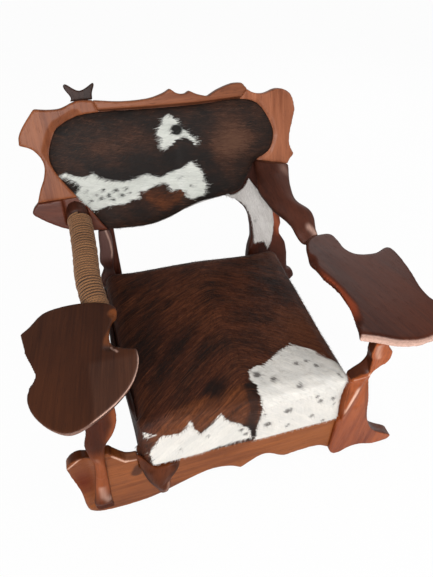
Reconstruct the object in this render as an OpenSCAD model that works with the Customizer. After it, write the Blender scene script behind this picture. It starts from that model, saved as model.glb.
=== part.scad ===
// Sculpted hardwood armchair with a cowhide seat and back and a rope-bound arm rail.
// Millimetres. Seen from the front, X runs to the right, Y to the back and Z up.
// The origin is on the floor, under the middle of the whole chair.
// Outlines are points in thousandths of the piece's own width and height.
// A third value of 1 marks a sharp corner, and every other point is passed smoothly.

/* [Seat] */
// Width of the upholstered seat
seat_w = 600; // [540:10:660]
// Depth of the upholstered seat, front to back
seat_d = 630; // [570:10:690]
// Height of the seat's upper edge above the floor
seat_h = 410; // [380:5:440]
// How far the hide hangs down the front of the seat
hide_drop = 204; // [180:2:220]
// Rise of the seat's middle over its edges
seat_crown = 14; // [6:1:24]
// Thickness of the hide with its hair and wadding
hide_t = 8; // [5:1:10]
// How far the hide is drawn in half way down its sides
hide_draw = 3; // [1:0.5:4]
// Thickness of the seat box's rails
box_rail_t = 28; // [20:1:34]
// Height of the seat box's rails
box_rail_h = 90; // [70:2:100]
// Width of one webbing strap
strap_w = 50; // [40:2:60]
// Thickness of one webbing strap
strap_t = 2; // [1:0.5:3]

/* [Front board] */
// How far the board reaches out past the seat on the left
board_out = 210; // [190:5:230]
// Gap between the seat's side and the board's tall left lobe
lobe_gap = 21; // [15:1:30]
// Height of the board's left end above the floor
board_h = 324; // [305:3:348]
// Thickness of the board
board_t = 32; // [28:1:38]

/* [Front right leg] */
// Width of the leg, from its seam with the board to the toe
leg_w = 230; // [200:5:260]
// How far the leg stands proud of the board's face
leg_proud = 10; // [6:1:16]

/* [Arm plates] */
// Height of the plates' upper faces above the floor
arm_h = 575; // [550:5:600]
// Thickness of an arm plate
plate_t = 32; // [26:1:38]
// Width of the left plate
left_plate_w = 290; // [260:5:320]
// Depth of the left plate
left_plate_d = 416; // [391:5:446]
// How far the left plate reaches in over the seat's edge
left_plate_in = 30; // [15:5:40]
// How far the left plate reaches out in front of the board
left_plate_front = 86; // [71:5:106]
// Width of the right plate
right_plate_w = 300; // [270:5:330]
// Depth of the right plate
right_plate_d = 500; // [460:5:540]
// How far the right plate reaches out in front of the board
right_plate_front = 45; // [30:5:60]

/* [Back] */
// Distance from the seat's front to the back frame's face at seat height
back_y = 655; // [640:5:690]
// Angle by which the back leans
recline = 17; // [12:1:22]
// Height of the back frame's top, measured along the lean from seat height
back_h = 570; // [530:10:610]
// How far the back frame reaches out past the seat on the left
back_out = 215; // [190:5:240]
// How far the back frame reaches out past the seat on the right
back_right_out = 105; // [85:5:125]
// Thickness of the frame's boards
back_t = 38; // [32:1:44]
// Thickness of the plywood behind the back pad
panel_t = 12; // [9:1:15]
// Depth of the pad's edge below the frame's face
pad_sunk = 3; // [1:1:6]
// Swell of the pad's middle over its edge
pad_crown = 17; // [8:1:24]
// Width of the battens behind the back
batten_w = 42; // [34:2:50]
// Thickness of the battens behind the back
batten_t = 22; // [16:1:28]
// Thickness of the white hide panel on the right rear leg
leg_hide_t = 11; // [6:1:12]

/* [Rear legs] */
// Thickness of a rear leg, front to back
rear_leg_t = 42; // [36:1:50]
// How far the rear feet stand behind the back frame's foot line
rear_kick = 44; // [20:2:70]
// Height of the rails under the seat box
under_rail_h = 64; // [50:2:80]
// Thickness of the rails under the seat box
under_rail_t = 42; // [34:1:50]
// Thickness of the dark board along the seat's left side
side_board_t = 14; // [10:1:18]

/* [Arm rails] */
// Height of the left rail's socket on the back frame, along the lean
socket_h = 222; // [212:1:230]
// Radius of the left rail's wooden core
core_r = 27; // [23:1:30]
// Radius of the collar at the rail's rear end
collar_r = 35; // [33:1:38]
// Thickness of the rope, measured out from the core
rope_t = 11; // [9:1:12]
// Number of rope turns round the rail
rope_turns = 22; // [18:1:22]
// Gap between neighbouring turns
rope_gap = 0.9; // [0.6:0.1:1.2]
// Radius of the round tenons
tenon_r = 12; // [10:1:14]
// Length of the round tenons
tenon_l = 20; // [14:1:24]
// Radius of the dowels between the board and the right leg
dowel_r = 5; // [4:0.5:6]
// Length of those dowels
dowel_l = 60; // [50:2:70]

/* [Feet] */
// Radius of a floor glide
glide_r = 12; // [9:1:14]
// Thickness of a floor glide
glide_t = 3; // [2:0.5:5]

/* [Hidden] */

// Gap of a glued or seated joint, and gap round a cushion or cover
seat_gap = 0.3;
soft_gap = 1.5;

// Samples between two outline points
board_n = 3;
plate_n = 3;
pad_n = 3;

seat_left = -seat_w / 2;
seat_right = seat_w / 2;
seat_base = seat_h - hide_drop;
box_top = seat_base + box_rail_h;
under_plate = arm_h - plate_t;
leg_x = seat_right - 10;
board_x = seat_left - board_out;
lobe_w = board_out - lobe_gap;
left_plate_x = seat_left + left_plate_in - left_plate_w;
right_plate_x = seat_right;
back_x = seat_left - back_out;
back_w = back_out + seat_w + back_right_out;
under_rail_x = seat_left - seat_gap;
side_board_x = under_rail_x - seat_gap;

// The rows of the legs are drawn round the middle of a seat 600 wide. These shift them to its sides.
drawn_half = 300;
left_shift = seat_left + drawn_half;
right_shift = seat_right - drawn_half;

// Outlines

left_plate_points = [[0, 810, 1], [70, 855], [195, 965], [365, 1000], [570, 1000], [815, 950], [885, 865],
    [800, 725], [780, 610], [850, 540], [1000, 500, 1], [995, 390], [925, 260], [825, 170], [705, 100],
    [540, 30], [405, 0], [305, 25], [190, 100], [95, 210], [70, 325], [140, 430], [115, 510], [50, 640]];
right_plate_points = [[5, 115, 1], [65, 250], [100, 375], [85, 520], [20, 645], [0, 780], [65, 925],
    [170, 985], [295, 1000], [405, 985], [430, 900], [435, 815], [515, 745], [715, 725], [885, 760],
    [925, 685], [905, 505], [860, 345], [885, 240], [1000, 150, 1], [880, 60], [740, 20], [595, 5],
    [465, 0], [295, 25], [150, 75]];

// The front board's outline: over its tall left lobe, along its ledge and its wavy underside, and the foot
board_ledge = 1000 * (seat_base - glide_t) / (board_h - glide_t);
lobe_points = [[0, 879], [42, 936], [136, 990], [229, 1000], [305, 977, 1], [627, 977, 1], [686, 915],
    [831, 802], [924, 782], [1000, 779, 1], [1000, board_ledge, 1]];
wave_points = [[1000, board_ledge, 1], [1000, 103, 1], [928, 193], [797, 184], [736, 172], [660, 279],
    [614, 299], [550, 224], [503, 150, 1], [442, 237], [352, 274], [258, 221], [97, 81], [18, 26]];
foot_points = [[729, 0, 1], [403, 0, 1], [212, 25], [85, 109], [76, 440]];

leg_seam = 1000 * (seat_base - glide_t) / (under_plate - glide_t);
leg_points = [[0, leg_seam, 1], [52, leg_seam, 1], [52, 735, 1], [130, 762], [212, 788], [256, 821],
    [288, 872], [306, 936], [322, 1000, 1], [440, 1000, 1], [455, 950], [500, 908], [500, 862],
    [460, 818], [385, 800], [318, 782], [287, 735], [322, 645], [383, 530], [430, 400], [480, 310], [565, 220],
    [665, 160], [800, 110], [935, 68], [1000, 40, 1], [960, 8], [870, 0, 1], [700, 0, 1], [620, 12], [490, 34],
    [370, 38], [260, 20], [190, 0, 1], [85, 0, 1], [45, 15], [0, 55, 1]];
pad_points = [[125, 825], [102, 745], [100, 680], [120, 600], [165, 480], [205, 390], [250, 275],
    [310, 260], [405, 255], [490, 285], [600, 345], [695, 365], [765, 390], [795, 460], [835, 555],
    [890, 605], [910, 690], [895, 780], [850, 880], [785, 910], [635, 905], [460, 910], [290, 920],
    [210, 910], [145, 865]];
left_stile_points = [[25, 475, 1], [45, 550], [65, 610], [75, 690], [50, 765], [10, 795, 1], [15, 840],
    [35, 890], [80, 970, 1], [120, 960], [165, 960], [220, 990], [275, 985, 1]];
top_rail_points = [[275, 985, 1], [365, 965], [460, 965], [515, 985], [540, 1005, 1], [560, 980],
    [590, 970], [607, 985, 1], [630, 965], [672, 945, 1], [710, 975], [765, 1000], [797, 1000, 1],
    [815, 965, 1]];
right_stile_points = [[815, 965, 1], [840, 940], [885, 930], [935, 950], [980, 915], [997, 830],
    [990, 775], [975, 680], [975, 620], [992, 562, 1], [975, 535], [965, 505, 1]];
wing_points = [[165, 479, 1], [25, 474, 1], [0, 425], [15, 393], [65, 335], [110, 298], [185, 270],
    [248, 262, 1]];
finial_points = [[125, 560, 1], [870, 560, 1], [890, 720], [1000, 915], [970, 960], [890, 930],
    [650, 830], [480, 800], [330, 850], [90, 985], [10, 960], [30, 860], [190, 640]];
leg_hide_points = [[480, 1000, 1], [380, 880], [240, 820], [20, 790, 1], [200, 725], [335, 640],
    [415, 510], [450, 350], [460, 160], [465, 120, 1], [680, 130, 1], [745, 0, 1], [820, 120],
    [865, 300], [865, 470], [800, 660], [700, 760], [580, 880]];

// Sizes of the outlines' frames that have no value of their own

finial_in = 172;
finial_w = 94;
finial_top = 45;
finial_h = 120;
finial_t = 18;
leg_hide_in = 177;
leg_hide_w = 230;
leg_hide_h = 285;

// Curves

function unit(v) = norm(v) < 1e-9 ? 0 * v : v / norm(v);
function flat(p) = [p[0], p[1]];
function corner(p) = len(p) > 2 && p[2] == 1;
function hermite(a, b, u, v, t) = (2*t*t*t - 3*t*t + 1) * a + (t*t*t - 2*t*t + t) * u
    + (3*t*t - 2*t*t*t) * b + (t*t*t - t*t) * v;

function mean(p) = [for (k = [0 : 2]) [for (q = p) q[k]] * [for (q = p) 1] / len(p)];

// Samples of the span from b to c, where a comes before it and d after it
function span(a, b, c, d, n) = let (run = norm(flat(c) - flat(b)),
        u = corner(b) ? flat(c) - flat(b) : run * unit(flat(c) - flat(a)),
        v = corner(c) ? flat(c) - flat(b) : run * unit(flat(d) - flat(b)))
    [for (k = [0 : (corner(b) && corner(c) ? 0 : n - 1)]) hermite(flat(b), flat(c), u, v, k / n)];

function closed_curve(p, n) = let (m = len(p))
    [for (i = [0 : m - 1]) each span(p[(i + m - 1) % m], p[i], p[(i + 1) % m], p[(i + 2) % m], n)];
function open_curve(p, n) = let (m = len(p)) concat(
    [for (i = [0 : m - 2]) each span(p[max(i - 1, 0)], p[i], p[i + 1], p[min(i + 2, m - 1)], n)],
    [flat(p[m - 1])]);

// An outline in thousandths, put in its frame of width w and height h
function sized(p, x, y, w, h) = [for (q = p) concat([x + w * q[0] / 1000, y + h * q[1] / 1000],
    corner(q) ? [1] : [])];

// Twice the signed area, the outward normals, and a copy stepped in by d at weight w
function turn_of(c) = let (m = len(c)) [for (i = [0 : m - 1]) c[i][0] * c[(i + 1) % m][1]
    - c[(i + 1) % m][0] * c[i][1]] * [for (i = [0 : m - 1]) 1];
function reversed(c) = [for (i = [len(c) - 1 : -1 : 0]) c[i]];
function outward(a, b) = let (d = unit(b - a)) [d[1], -d[0]];
function stepped_in(c, d, w = 1) = let (m = len(c)) [for (i = [0 : m - 1])
    let (p = outward(c[(i + m - 1) % m], c[i]), q = outward(c[i], c[(i + 1) % m]), own = is_list(w) ? w[i] : w)
    c[i] - d * own * (p + q) / max(1 + p * q, 0.7)];

// A smooth path through points in space or rows of numbers: one place s along it, or n a span
function spline(a, b, c, d, t) = 0.5 * (2 * b + (c - a) * t + (2 * a - 5 * b + 4 * c - d) * t * t
    + (3 * b - a - 3 * c + d) * t * t * t);
function along(p, s) = let (m = len(p) - 1, i = max(0, min(floor(s), m - 1)))
    spline(p[max(i - 1, 0)], p[i], p[i + 1], p[min(i + 2, m)], s - i);
function path(p, n) = [for (k = [0 : n * (len(p) - 1)]) along(p, k / n)];

// Solids

// A skin over rings of equal count, ordered anticlockwise round the way that they are stacked.
// Its ends are flat outlines, or fans of triangles round their middles.
module skin(rings, fans = false) {
    m = len(rings[0]);
    last = len(rings) - 1;
    n = m * (last + 1);
    ends = fans
        ? [for (i = [0 : m - 1]) let (j = (i + 1) % m) each [[i, j, n], [last * m + j, last * m + i, n + 1]]]
        : [[for (i = [0 : m - 1]) i], [for (i = [m - 1 : -1 : 0]) last * m + i]];
    polyhedron(
        points = concat([for (r = rings) each r], fans ? [mean(rings[0]), mean(rings[last])] : []),
        faces = concat(ends,
            [for (r = [0 : last - 1], i = [0 : m - 1]) let (j = (i + 1) % m)
                [r * m + i, (r + 1) * m + i, (r + 1) * m + j]],
            [for (r = [0 : last - 1], i = [0 : m - 1]) let (j = (i + 1) % m)
                [r * m + i, (r + 1) * m + j, r * m + j]]));
}

// A board whose edge follows profile: rows of how far it steps in and how high it lies
module board(curve, profile, weight = 1) {
    turned = turn_of(curve) > 0;
    c = turned ? curve : reversed(curve);
    w = turned || !is_list(weight) ? weight : reversed(weight);
    skin([for (row = profile) [for (q = stepped_in(c, row[0], w)) [q[0], q[1], row[1]]]]);
}

// Stands a flat board up, so that its face looks to the front, from depth y0 to y0 - its thickness
module stand(y0) {
    translate([0, y0, 0]) rotate([90, 0, 0]) children();
}

// Moves what is drawn round the seat's front to the chair's own origin
module in_chair() {
    translate([-middle[0], -middle[1], 0]) children();
}

// Lays out the leaning back: X across, Y into the frame from its face, Z up along it
module in_back() {
    translate([0, back_y, seat_h]) rotate([-recline, 0, 0]) children();
}
function from_back(p) = [p[0], back_y + p[2] * sin(recline) + p[1] * cos(recline),
    seat_h + p[2] * cos(recline) - p[1] * sin(recline)];

// A rounded rectangle of w by d round the origin, with m steps a side and q steps a corner
function soft_rectangle(w, d, r, m, q) = [for (k = [0 : 3]) let (
        sx = (k == 0 || k == 3) ? 1 : -1, sy = (k < 2) ? 1 : -1,
        c = [sx * (w / 2 - r), sy * (d / 2 - r)],
        next = [(k == 0 || k == 1) ? -w / 2 + r : w / 2 - r, (k == 0 || k == 3) ? d / 2 : -d / 2],
        to = k == 0 ? [-w / 2 + r, d / 2] : k == 1 ? [-w / 2, -d / 2 + r]
            : k == 2 ? [w / 2 - r, -d / 2] : [w / 2, d / 2 - r],
        from = c + r * [cos(90 * k + 90), sin(90 * k + 90)])
    each concat([for (i = [0 : q]) c + r * [cos(90 * k + 90 * i / q), sin(90 * k + 90 * i / q)]],
        [for (i = [1 : m - 1]) from + (to - from) * i / m])];

// A ring of n points round centre c and across direction t, a wide and b high
function ring_at(c, t, a, b, n) = let (side = unit(cross(t, [0, 0, 1])), rise = cross(side, t))
    [for (i = [0 : n - 1]) let (f = 360 * i / n) c + b * cos(f) * rise + a * sin(f) * side];

// A level ring: rounded box from x0 to x1 and y0 to y1, at height z
function box_ring(z, x0, x1, y0, y1, r) = [for (q = soft_rectangle(x1 - x0, y1 - y0, r, 1, 2))
    [(x0 + x1) / 2 + q[0], (y0 + y1) / 2 + q[1], z]];

// Worked-out curves

left_plate_curve = closed_curve(sized(left_plate_points, left_plate_x, -left_plate_front,
    left_plate_w, left_plate_d), plate_n);
right_plate_curve = closed_curve(sized(right_plate_points, right_plate_x, -right_plate_front,
    right_plate_w, right_plate_d), plate_n);
board_curve = closed_curve(concat(sized(lobe_points, board_x, glide_t, lobe_w, board_h - glide_t),
    sized(wave_points, board_x + lobe_w, glide_t, leg_x - board_x - lobe_w, board_h - glide_t),
    sized(foot_points, board_x, glide_t, lobe_w, board_h - glide_t)), board_n);
leg_curve = closed_curve(sized(leg_points, leg_x + seat_gap, glide_t, leg_w, under_plate - glide_t), board_n);
pad_curve = closed_curve(sized(pad_points, back_x, 0, back_w, back_h), pad_n);
finial_curve = closed_curve(sized(finial_points, back_x + finial_in, back_h + finial_top - finial_h,
    finial_w, finial_h), board_n);
leg_hide_curve = closed_curve(sized(leg_hide_points, seat_right - leg_hide_in, -34,
    leg_hide_w, leg_hide_h), board_n);

// Middle of the whole chair, seen from above: the plates and the finial reach out farthest
finial_rear = back_t + seat_gap + finial_t;
low_x = min([for (q = left_plate_curve) q[0]]);
high_x = max([for (q = right_plate_curve) q[0]]);
low_y = min([for (q = left_plate_curve) q[1]]);
high_y = max([for (q = finial_curve) from_back([0, finial_rear, q[1]])[1]]);
middle = [(low_x + high_x) / 2, (low_y + high_y) / 2];

// Edge profile: rows of step in and height
function undercut_edge(t, cut) = [[cut, 0], [cut * 0.3, t * 0.45], [0, t * 0.8], [1.2, t - 1.5], [4, t]];

// Weights that leave a plate's front edge nearly upright, and undercut it fully from y1 back
function upright_front(c, y0, y1) = [for (q = c) 0.15 + 0.85 * min(1, max(0, (q[1] - y0) / (y1 - y0)))];

// Front

module front_board() {
    color("sienna") in_chair() difference() {
        stand(board_t) linear_extrude(board_t) polygon(board_curve);
        dowel_bores();
    }
}

module dowel_bores(clear = seat_gap) {
    for (z = [80, 150])
        translate([leg_x - dowel_l / 2 - clear, board_t / 2, z]) rotate([0, 90, 0])
            cylinder(r = dowel_r + clear, h = dowel_l + 2 * clear, $fn = 24);
}

module leg_dowels() {
    color("burlywood") in_chair() dowel_bores(0);
}

module front_right_leg() {
    color("peru") in_chair() {
        difference() {
            stand(board_t) linear_extrude(board_t + leg_proud) polygon(leg_curve);
            dowel_bores();
        }
        leg_tenon(0);
    }
}

// Rows of the post's blade: height above the board, left edge x y, right edge x y, half thickness
post_x = board_x + lobe_w * 0.462;
post_shoulder = glide_t + (board_h - glide_t) * 0.977 + seat_gap;
blade_rows = [[0, -18, -4, 20, 2, 15], [30, -20, -7, 24, 0, 15], [57, -21, -11, 33, 2, 13],
    [80, -21, -15, 52, 6, 12], [105, -18, -18, 64, 9, 11], [135, -10, -20, 72, 10, 10],
    [170, -4, -22, 74, 12, 11], [224, -2, -24, 73, 14, 16]];
blade_h = 224;

// Rows of the relief below it, on the board's face: height, left, right, thickness
relief_rows = [[0, -46, 12, 5], [30, -50, 11, 10], [68, -49, 9, 15], [105, -42, 8, 17], [172, -31, 10, 17],
    [250, -18, 15, 17], [302, -14, 18, 18], [332, -15, 18, 14]];
relief_h = 316;

module front_left_post() {
    rise = (under_plate - seat_gap - post_shoulder) / blade_h;
    drop = (post_shoulder - glide_t) / relief_h;
    color("saddlebrown") in_chair() {
        skin([for (r = path(blade_rows, 2)) let (l = [r[1], r[2]], half = ([r[3], r[4]] - l) / 2,
                across = unit([-half[1], half[0]]))
            [for (i = [0 : 15]) let (q = l + half + half * cos(22.5 * i) + r[5] * sin(22.5 * i) * across)
                [post_x + q[0], q[1], post_shoulder + r[0] * rise]]]);
        skin([for (r = path(relief_rows, 2)) let (mid = (r[1] + r[2]) / 2, half = (r[2] - r[1]) / 2)
            [for (i = [0 : 9]) let (f = 180 + 20 * i)
                [post_x + mid + half * cos(f), -seat_gap + r[3] * sin(f), glide_t + r[0] * drop]]]);
        post_tenon(0);
    }
}

module post_tenon(clear) {
    translate([post_x + 37, -5, under_plate - 1])
        cylinder(r = tenon_r + clear, h = tenon_l * 0.8 + 1 + clear, $fn = 32);
}

module leg_tenon(clear) {
    translate([leg_x + leg_w * 0.372, board_t / 2 - leg_proud / 2, under_plate - 1])
        cylinder(r = tenon_r + clear, h = tenon_l * 0.8 + 1 + clear, $fn = 32);
}

// Rows of the carved corner leg: height under the hide, left, right, thickness
corner_rows = [[152, -282, -258, 7], [130, -286, -251, 13], [105, -291, -247, 18], [80, -297, -238, 20],
    [55, -303, -223, 19], [30, -308, -212, 17], [0.6, -313, -208, 14]];

module seat_corner_leg() {
    rows = path(corner_rows, 2);
    color("brown") in_chair() skin([for (r = rows) let (mid = (r[1] + r[2]) / 2, half = (r[2] - r[1]) / 2)
        [for (i = [0 : 9]) let (f = 180 + 20 * i)
            [left_shift + mid + half * cos(f), -seat_gap + r[3] * sin(f), seat_base - r[0]]]]);
}

// Rows of the board along the seat's left side: place along it, thickness, lower and upper edge
side_rows = [[0, 0.3, 0.22, 0.9], [0.03, 0.7, 0.1, 0.96], [0.07, 1.15, 0, 0.99], [0.16, 1.25, 0, 1],
    [0.55, 1.1, 0, 0.99], [0.9, 1.05, 0.05, 0.97], [1, 0.9, 0.2, 0.93]];
side_low = seat_base - under_rail_h + 4;

module seat_left_board() {
    long = seat_d - hide_t - board_t - 24;
    tall = seat_h - 8 - side_low;
    color("maroon") in_chair() skin([for (r = path(side_rows, 2)) let (t = side_board_t * r[1],
            low = side_low + tall * r[2], high = side_low + tall * r[3])
        [for (q = soft_rectangle(t, high - low, min(t / 3, 4), 1, 2))
            [side_board_x - t / 2 + q[0], board_t + 2 + long * r[0], (low + high) / 2 + q[1]]]]);
}

// Rails under the seat box, from the board's back to the rear legs

module under_rail(x) {
    low = seat_base - under_rail_h;
    difference() {
        translate([x, board_t + seat_gap, low])
            cube([under_rail_t, rear_front(low) - board_t - 2 * seat_gap, under_rail_h - seat_gap]);
        translate([x + under_rail_t / 2, board_t + 250, low - 1]) cylinder(r = 4, h = 12, $fn = 24);
        translate([x + under_rail_t / 2, board_t + 450, low - 1]) cylinder(r = 4, h = 12, $fn = 24);
    }
}

module left_under_rail() {
    color("saddlebrown") in_chair() under_rail(under_rail_x);
}

module right_under_rail() {
    color("saddlebrown") in_chair() under_rail(-under_rail_x - under_rail_t);
}

module rear_cross_rail() {
    inner = seat_w + 2 * seat_gap - 2 * under_rail_t - 2 * seat_gap;
    color("saddlebrown") in_chair() translate([-inner / 2, seat_d - 60, seat_base - under_rail_h])
        cube([inner, box_rail_t, under_rail_h - seat_gap]);
}

// Seat box and cushion: the hide's outer faces are seat_w by seat_d, its front hide_t ahead of the board

box_w = seat_w - 2 * hide_t - 2 * seat_gap;
box_d = seat_d - 2 * hide_t - 2 * seat_gap;

box_r = 14;

// The box's plan, grown by a little, with its corners rounded to suit the cover
module box_plan(grow = 0) {
    translate([0, seat_middle[1]]) polygon(soft_rectangle(box_w + 2 * grow, box_d + 2 * grow, box_r, 1, 3));
}

module cross_rail(y) {
    translate([0, 0, seat_base]) linear_extrude(box_rail_h) intersection() {
        box_plan();
        translate([-box_w / 2, y]) square([box_w, box_rail_t]);
    }
}

module seat_front_rail() {
    color("tan") in_chair() cross_rail(seat_gap);
}

module seat_rear_rail() {
    color("tan") in_chair() cross_rail(seat_gap + box_d - box_rail_t);
}

module side_rail(x) {
    translate([x, seat_gap + box_rail_t + seat_gap, seat_base])
        cube([box_rail_t, box_d - 2 * box_rail_t - 2 * seat_gap, box_rail_h]);
}

module seat_left_rail() {
    color("tan") in_chair() side_rail(-box_w / 2);
}

module seat_right_rail() {
    color("tan") in_chair() side_rail(box_w / 2 - box_rail_t);
}

module corner_blocks() {
    leg = 60;
    x = box_w / 2 - box_rail_t - seat_gap;
    y = box_d / 2 - box_rail_t - 2 * seat_gap;
    color("wheat") in_chair() translate([0, seat_gap + box_d / 2, seat_base + 10])
        for (sx = [-1, 1], sy = [-1, 1])
            linear_extrude(box_rail_h - 30)
                polygon([[sx * x, sy * y], [sx * (x - leg), sy * y], [sx * x, sy * (y - leg)]]);
}

module seat_webbing() {
    count = 5;
    color("dimgray") in_chair() translate([0, seat_gap, box_top + seat_gap]) {
        for (i = [0 : count - 1])
            translate([-box_w / 2 + 30 + i * (box_w - 60 - strap_w) / (count - 1), 4, 0])
                cube([strap_w, box_d - 8, strap_t]);
        for (i = [0 : count - 1])
            translate([-box_w / 2 + 4, 30 + i * (box_d - 60 - strap_w) / (count - 1), strap_t + 0.2])
                cube([box_w - 8, strap_w, strap_t]);
    }
}

foam_low = box_top + 2 * strap_t + 0.2 + 2 * seat_gap;
foam_high = seat_h - hide_t - seat_gap;
seat_middle = [0, seat_d / 2 - hide_t];

module seat_foam() {
    color("khaki") in_chair() translate([0, 0, foam_low]) linear_extrude(foam_high - foam_low) box_plan();
}

// Rings of the seat cover: up the drawn-in sides, round the edge and in over the crown
function cover_ring(inset, z, scale = 1) = [for (q = soft_rectangle(seat_w - 2 * inset, seat_d - 2 * inset,
    22, 6, 3)) [q[0] * scale, seat_middle[1] + q[1] * scale, z]];

module seat_hide() {
    edge = 16;
    rings = concat(
        [cover_ring(2, seat_base + seat_gap), cover_ring(0, seat_base + 10),
            cover_ring(hide_draw, seat_base + hide_drop * 0.5), cover_ring(0, seat_h - edge)],
        [for (f = [25, 50, 75]) cover_ring(edge * (1 - cos(f)), seat_h - edge * (1 - sin(f)))],
        [for (s = [0.94, 0.86, 0.72, 0.5, 0.25]) cover_ring(0, seat_h + seat_crown * (1 - pow(s, 2.4)), s)]);
    color("ivory") in_chair() difference() {
        skin(rings, true);
        translate([0, 0, seat_base - 1])
            linear_extrude(foam_high + seat_gap - seat_base + 1) box_plan(seat_gap);
    }
}

// Back frame: four boards round the pad, each a run of its outer points and a run of the pad's edge

function pad_run(a, b) = let (m = len(pad_curve), e = stepped_in(pad_curve, -soft_gap))
    [for (k = [a * pad_n : b * pad_n]) e[k % m]];
function back_outer(p) = open_curve(sized(p, back_x, 0, back_w, back_h), board_n);

module frame_board(outer, inner) {
    stand(back_t) linear_extrude(back_t) polygon(concat(outer, inner));
}

module back_left_stile() {
    color("peru") in_chair() in_back() frame_board(back_outer(left_stile_points), pad_run(22, 29));
}

module back_top_rail() {
    color("peru") in_chair() in_back() frame_board(back_outer(top_rail_points), pad_run(19, 22));
}

module back_right_stile() {
    color("peru") in_chair() in_back() frame_board(back_outer(right_stile_points), pad_run(14, 19));
}

socket_x = back_x + back_w * 0.149;
recess_deep = 10;

module back_left_wing() {
    color("chocolate") in_chair() in_back() difference() {
        frame_board(reversed(back_outer(wing_points)), [for (k = [1 : 5]) pad_run(4, 6)[k]]);
        socket();
    }
}

// Shallow square recess for the rail's collar, with the round mortise for its tenon behind it
module socket() {
    recess = collar_r + 2;
    translate([socket_x - recess, -1, socket_h - recess])
        cube([2 * recess, recess_deep + 1, back_h * 0.49 - socket_h + recess]);
    translate([socket_x, recess_deep - 1, socket_h]) rotate([-90, 0, 0])
        cylinder(r = tenon_r + seat_gap, h = tenon_l + 2, $fn = 32);
}

// Where the back's foam and cover begin, and how far the foam lies in from the cover
panel_front = back_t - panel_t;
pad_skin = 7;
pad_margin = 9;

module back_panel() {
    color("burlywood") in_chair() in_back() stand(back_t) linear_extrude(panel_t)
        polygon(stepped_in(pad_curve, 0.5));
}

module back_foam() {
    color("khaki") in_chair() in_back() stand(panel_front - seat_gap)
        linear_extrude(panel_front - pad_sunk - pad_skin - seat_gap)
            polygon(stepped_in(pad_curve, pad_margin));
}

// Rings of the back's cover shrink towards a centre from which its whole edge is seen
pad_centre = [back_x + back_w * 0.5, back_h * 0.62];
function pad_ring(scale, z) = [for (q = pad_curve) let (p = pad_centre + scale * (q - pad_centre))
    [p[0], p[1], z]];

module back_hide() {
    deep = panel_front - pad_sunk;
    color("ivory") in_chair() in_back() stand(panel_front - seat_gap) difference() {
        skin(concat([pad_ring(0.985, 0), pad_ring(1, 5), pad_ring(0.992, deep * 0.55),
            pad_ring(0.982, deep - 4)],
            [for (s = [0.95, 0.86, 0.7, 0.45, 0.15]) pad_ring(s, deep + pad_crown * (1 - s * s))]));
        translate([0, 0, -1]) linear_extrude(deep - pad_skin + seat_gap + 1)
            polygon(stepped_in(pad_curve, pad_margin - seat_gap));
    }
}

module back_battens() {
    upper = back_x + 80;
    lower = back_x + 60;
    leg_edge = right_shift + right_leg_rows[1][1];
    color("tan") in_chair() in_back() {
        translate([upper, back_t + seat_gap, back_h * 0.7]) cube([back_w - 140, batten_t, batten_w]);
        translate([lower, back_t + seat_gap, back_h * 0.485]) cube([leg_edge - 1 - lower, batten_t, batten_w]);
    }
}

module horn_finial() {
    color("saddlebrown") in_chair() in_back() stand(finial_rear)
        linear_extrude(finial_t) polygon(finial_curve);
}

// Rear legs

// Front face of a rear leg at height z: along the lean above the seat, kicked back below it
function rear_front(z) = let (low = seat_h - 60,
        h = (max(z, low) - seat_h + back_t * sin(recline)) / cos(recline))
    back_y + h * sin(recline) + (back_t + seat_gap) * cos(recline)
    + (z < low ? rear_kick * pow((low - z) / low, 1.6) : 0);

// Rows of height above the seat's top, left edge and right edge
right_leg_rows = [[296, 216, 322], [250, 196, 334], [205, 168, 345], [178, 158, 345], [150, 188, 335],
    [126, 212, 325], [99, 227, 326], [80, 233, 353], [42, 237, 358], [22, 237, 350], [0, 236, 352],
    [-36, 222, 374], [-80, 216, 382], [-130, 224, 388], [-174, 229, 396], [-196, 234, 424],
    [-220, 238, 432], [-240, 242, 420], [-256, 246, 392], [-320, 268, 378], [-407, 288, 366]];
left_leg_rows = [[230, -322, -268], [115, -318, -267], [30, -322, -267], [-40, -328, -266], [-160, -338, -266],
    [-300, -350, -272], [-407, -360, -280]];

function leg_ring(r, x) = let (z = r[0] > -407 ? seat_h + r[0] : glide_t, y = rear_front(z))
    box_ring(z, x + r[1], x + r[2], y, y + rear_leg_t, 9);

module right_rear_leg() {
    color("maroon") in_chair() skin(reversed([for (r = right_leg_rows) leg_ring(r, right_shift)]));
}

module left_rear_leg() {
    color("maroon") in_chair() skin(reversed([for (r = path(left_leg_rows, 2)) leg_ring(r, left_shift)]));
}

// Rows of the carved brace: height above the seat's top, left edge, right edge, thickness
brace_rows = [[-120, -330, -284, 14], [-60, -345, -286, 26], [-30, -340, -290, 24], [-5, -326, -292, 18],
    [20, -336, -288, 26], [60, -328, -282, 30], [100, -325, -279, 30], [130, -321, -284, 30],
    [160, -318, -286, 28]];

module left_rear_brace() {
    color("brown") in_chair() difference() {
        skin([for (r = path(brace_rows, 2)) let (z = seat_h + r[0], y = rear_front(z) - seat_gap)
            box_ring(z, left_shift + r[1], left_shift + r[2], y - r[3], y, 7)]);
        in_back() translate([back_x, -80, back_h * 0.256]) cube([back_w, 200, 100]);
    }
}

module leg_hide_panel() {
    color("white") in_chair() in_back() stand(back_t) linear_extrude(leg_hide_t) polygon(leg_hide_curve);
}

// Arms

module left_arm_plate() {
    color("saddlebrown") in_chair() difference() {
        translate([0, 0, under_plate]) board(left_plate_curve, undercut_edge(plate_t, 20));
        post_tenon(seat_gap);
    }
}

module right_arm_plate() {
    color("saddlebrown") in_chair() difference() {
        translate([0, 0, under_plate]) board(right_plate_curve, undercut_edge(plate_t, 12),
            upright_front(right_plate_curve, 10, 80));
        leg_tenon(seat_gap);
        branch_tenon(seat_gap);
    }
}

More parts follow.
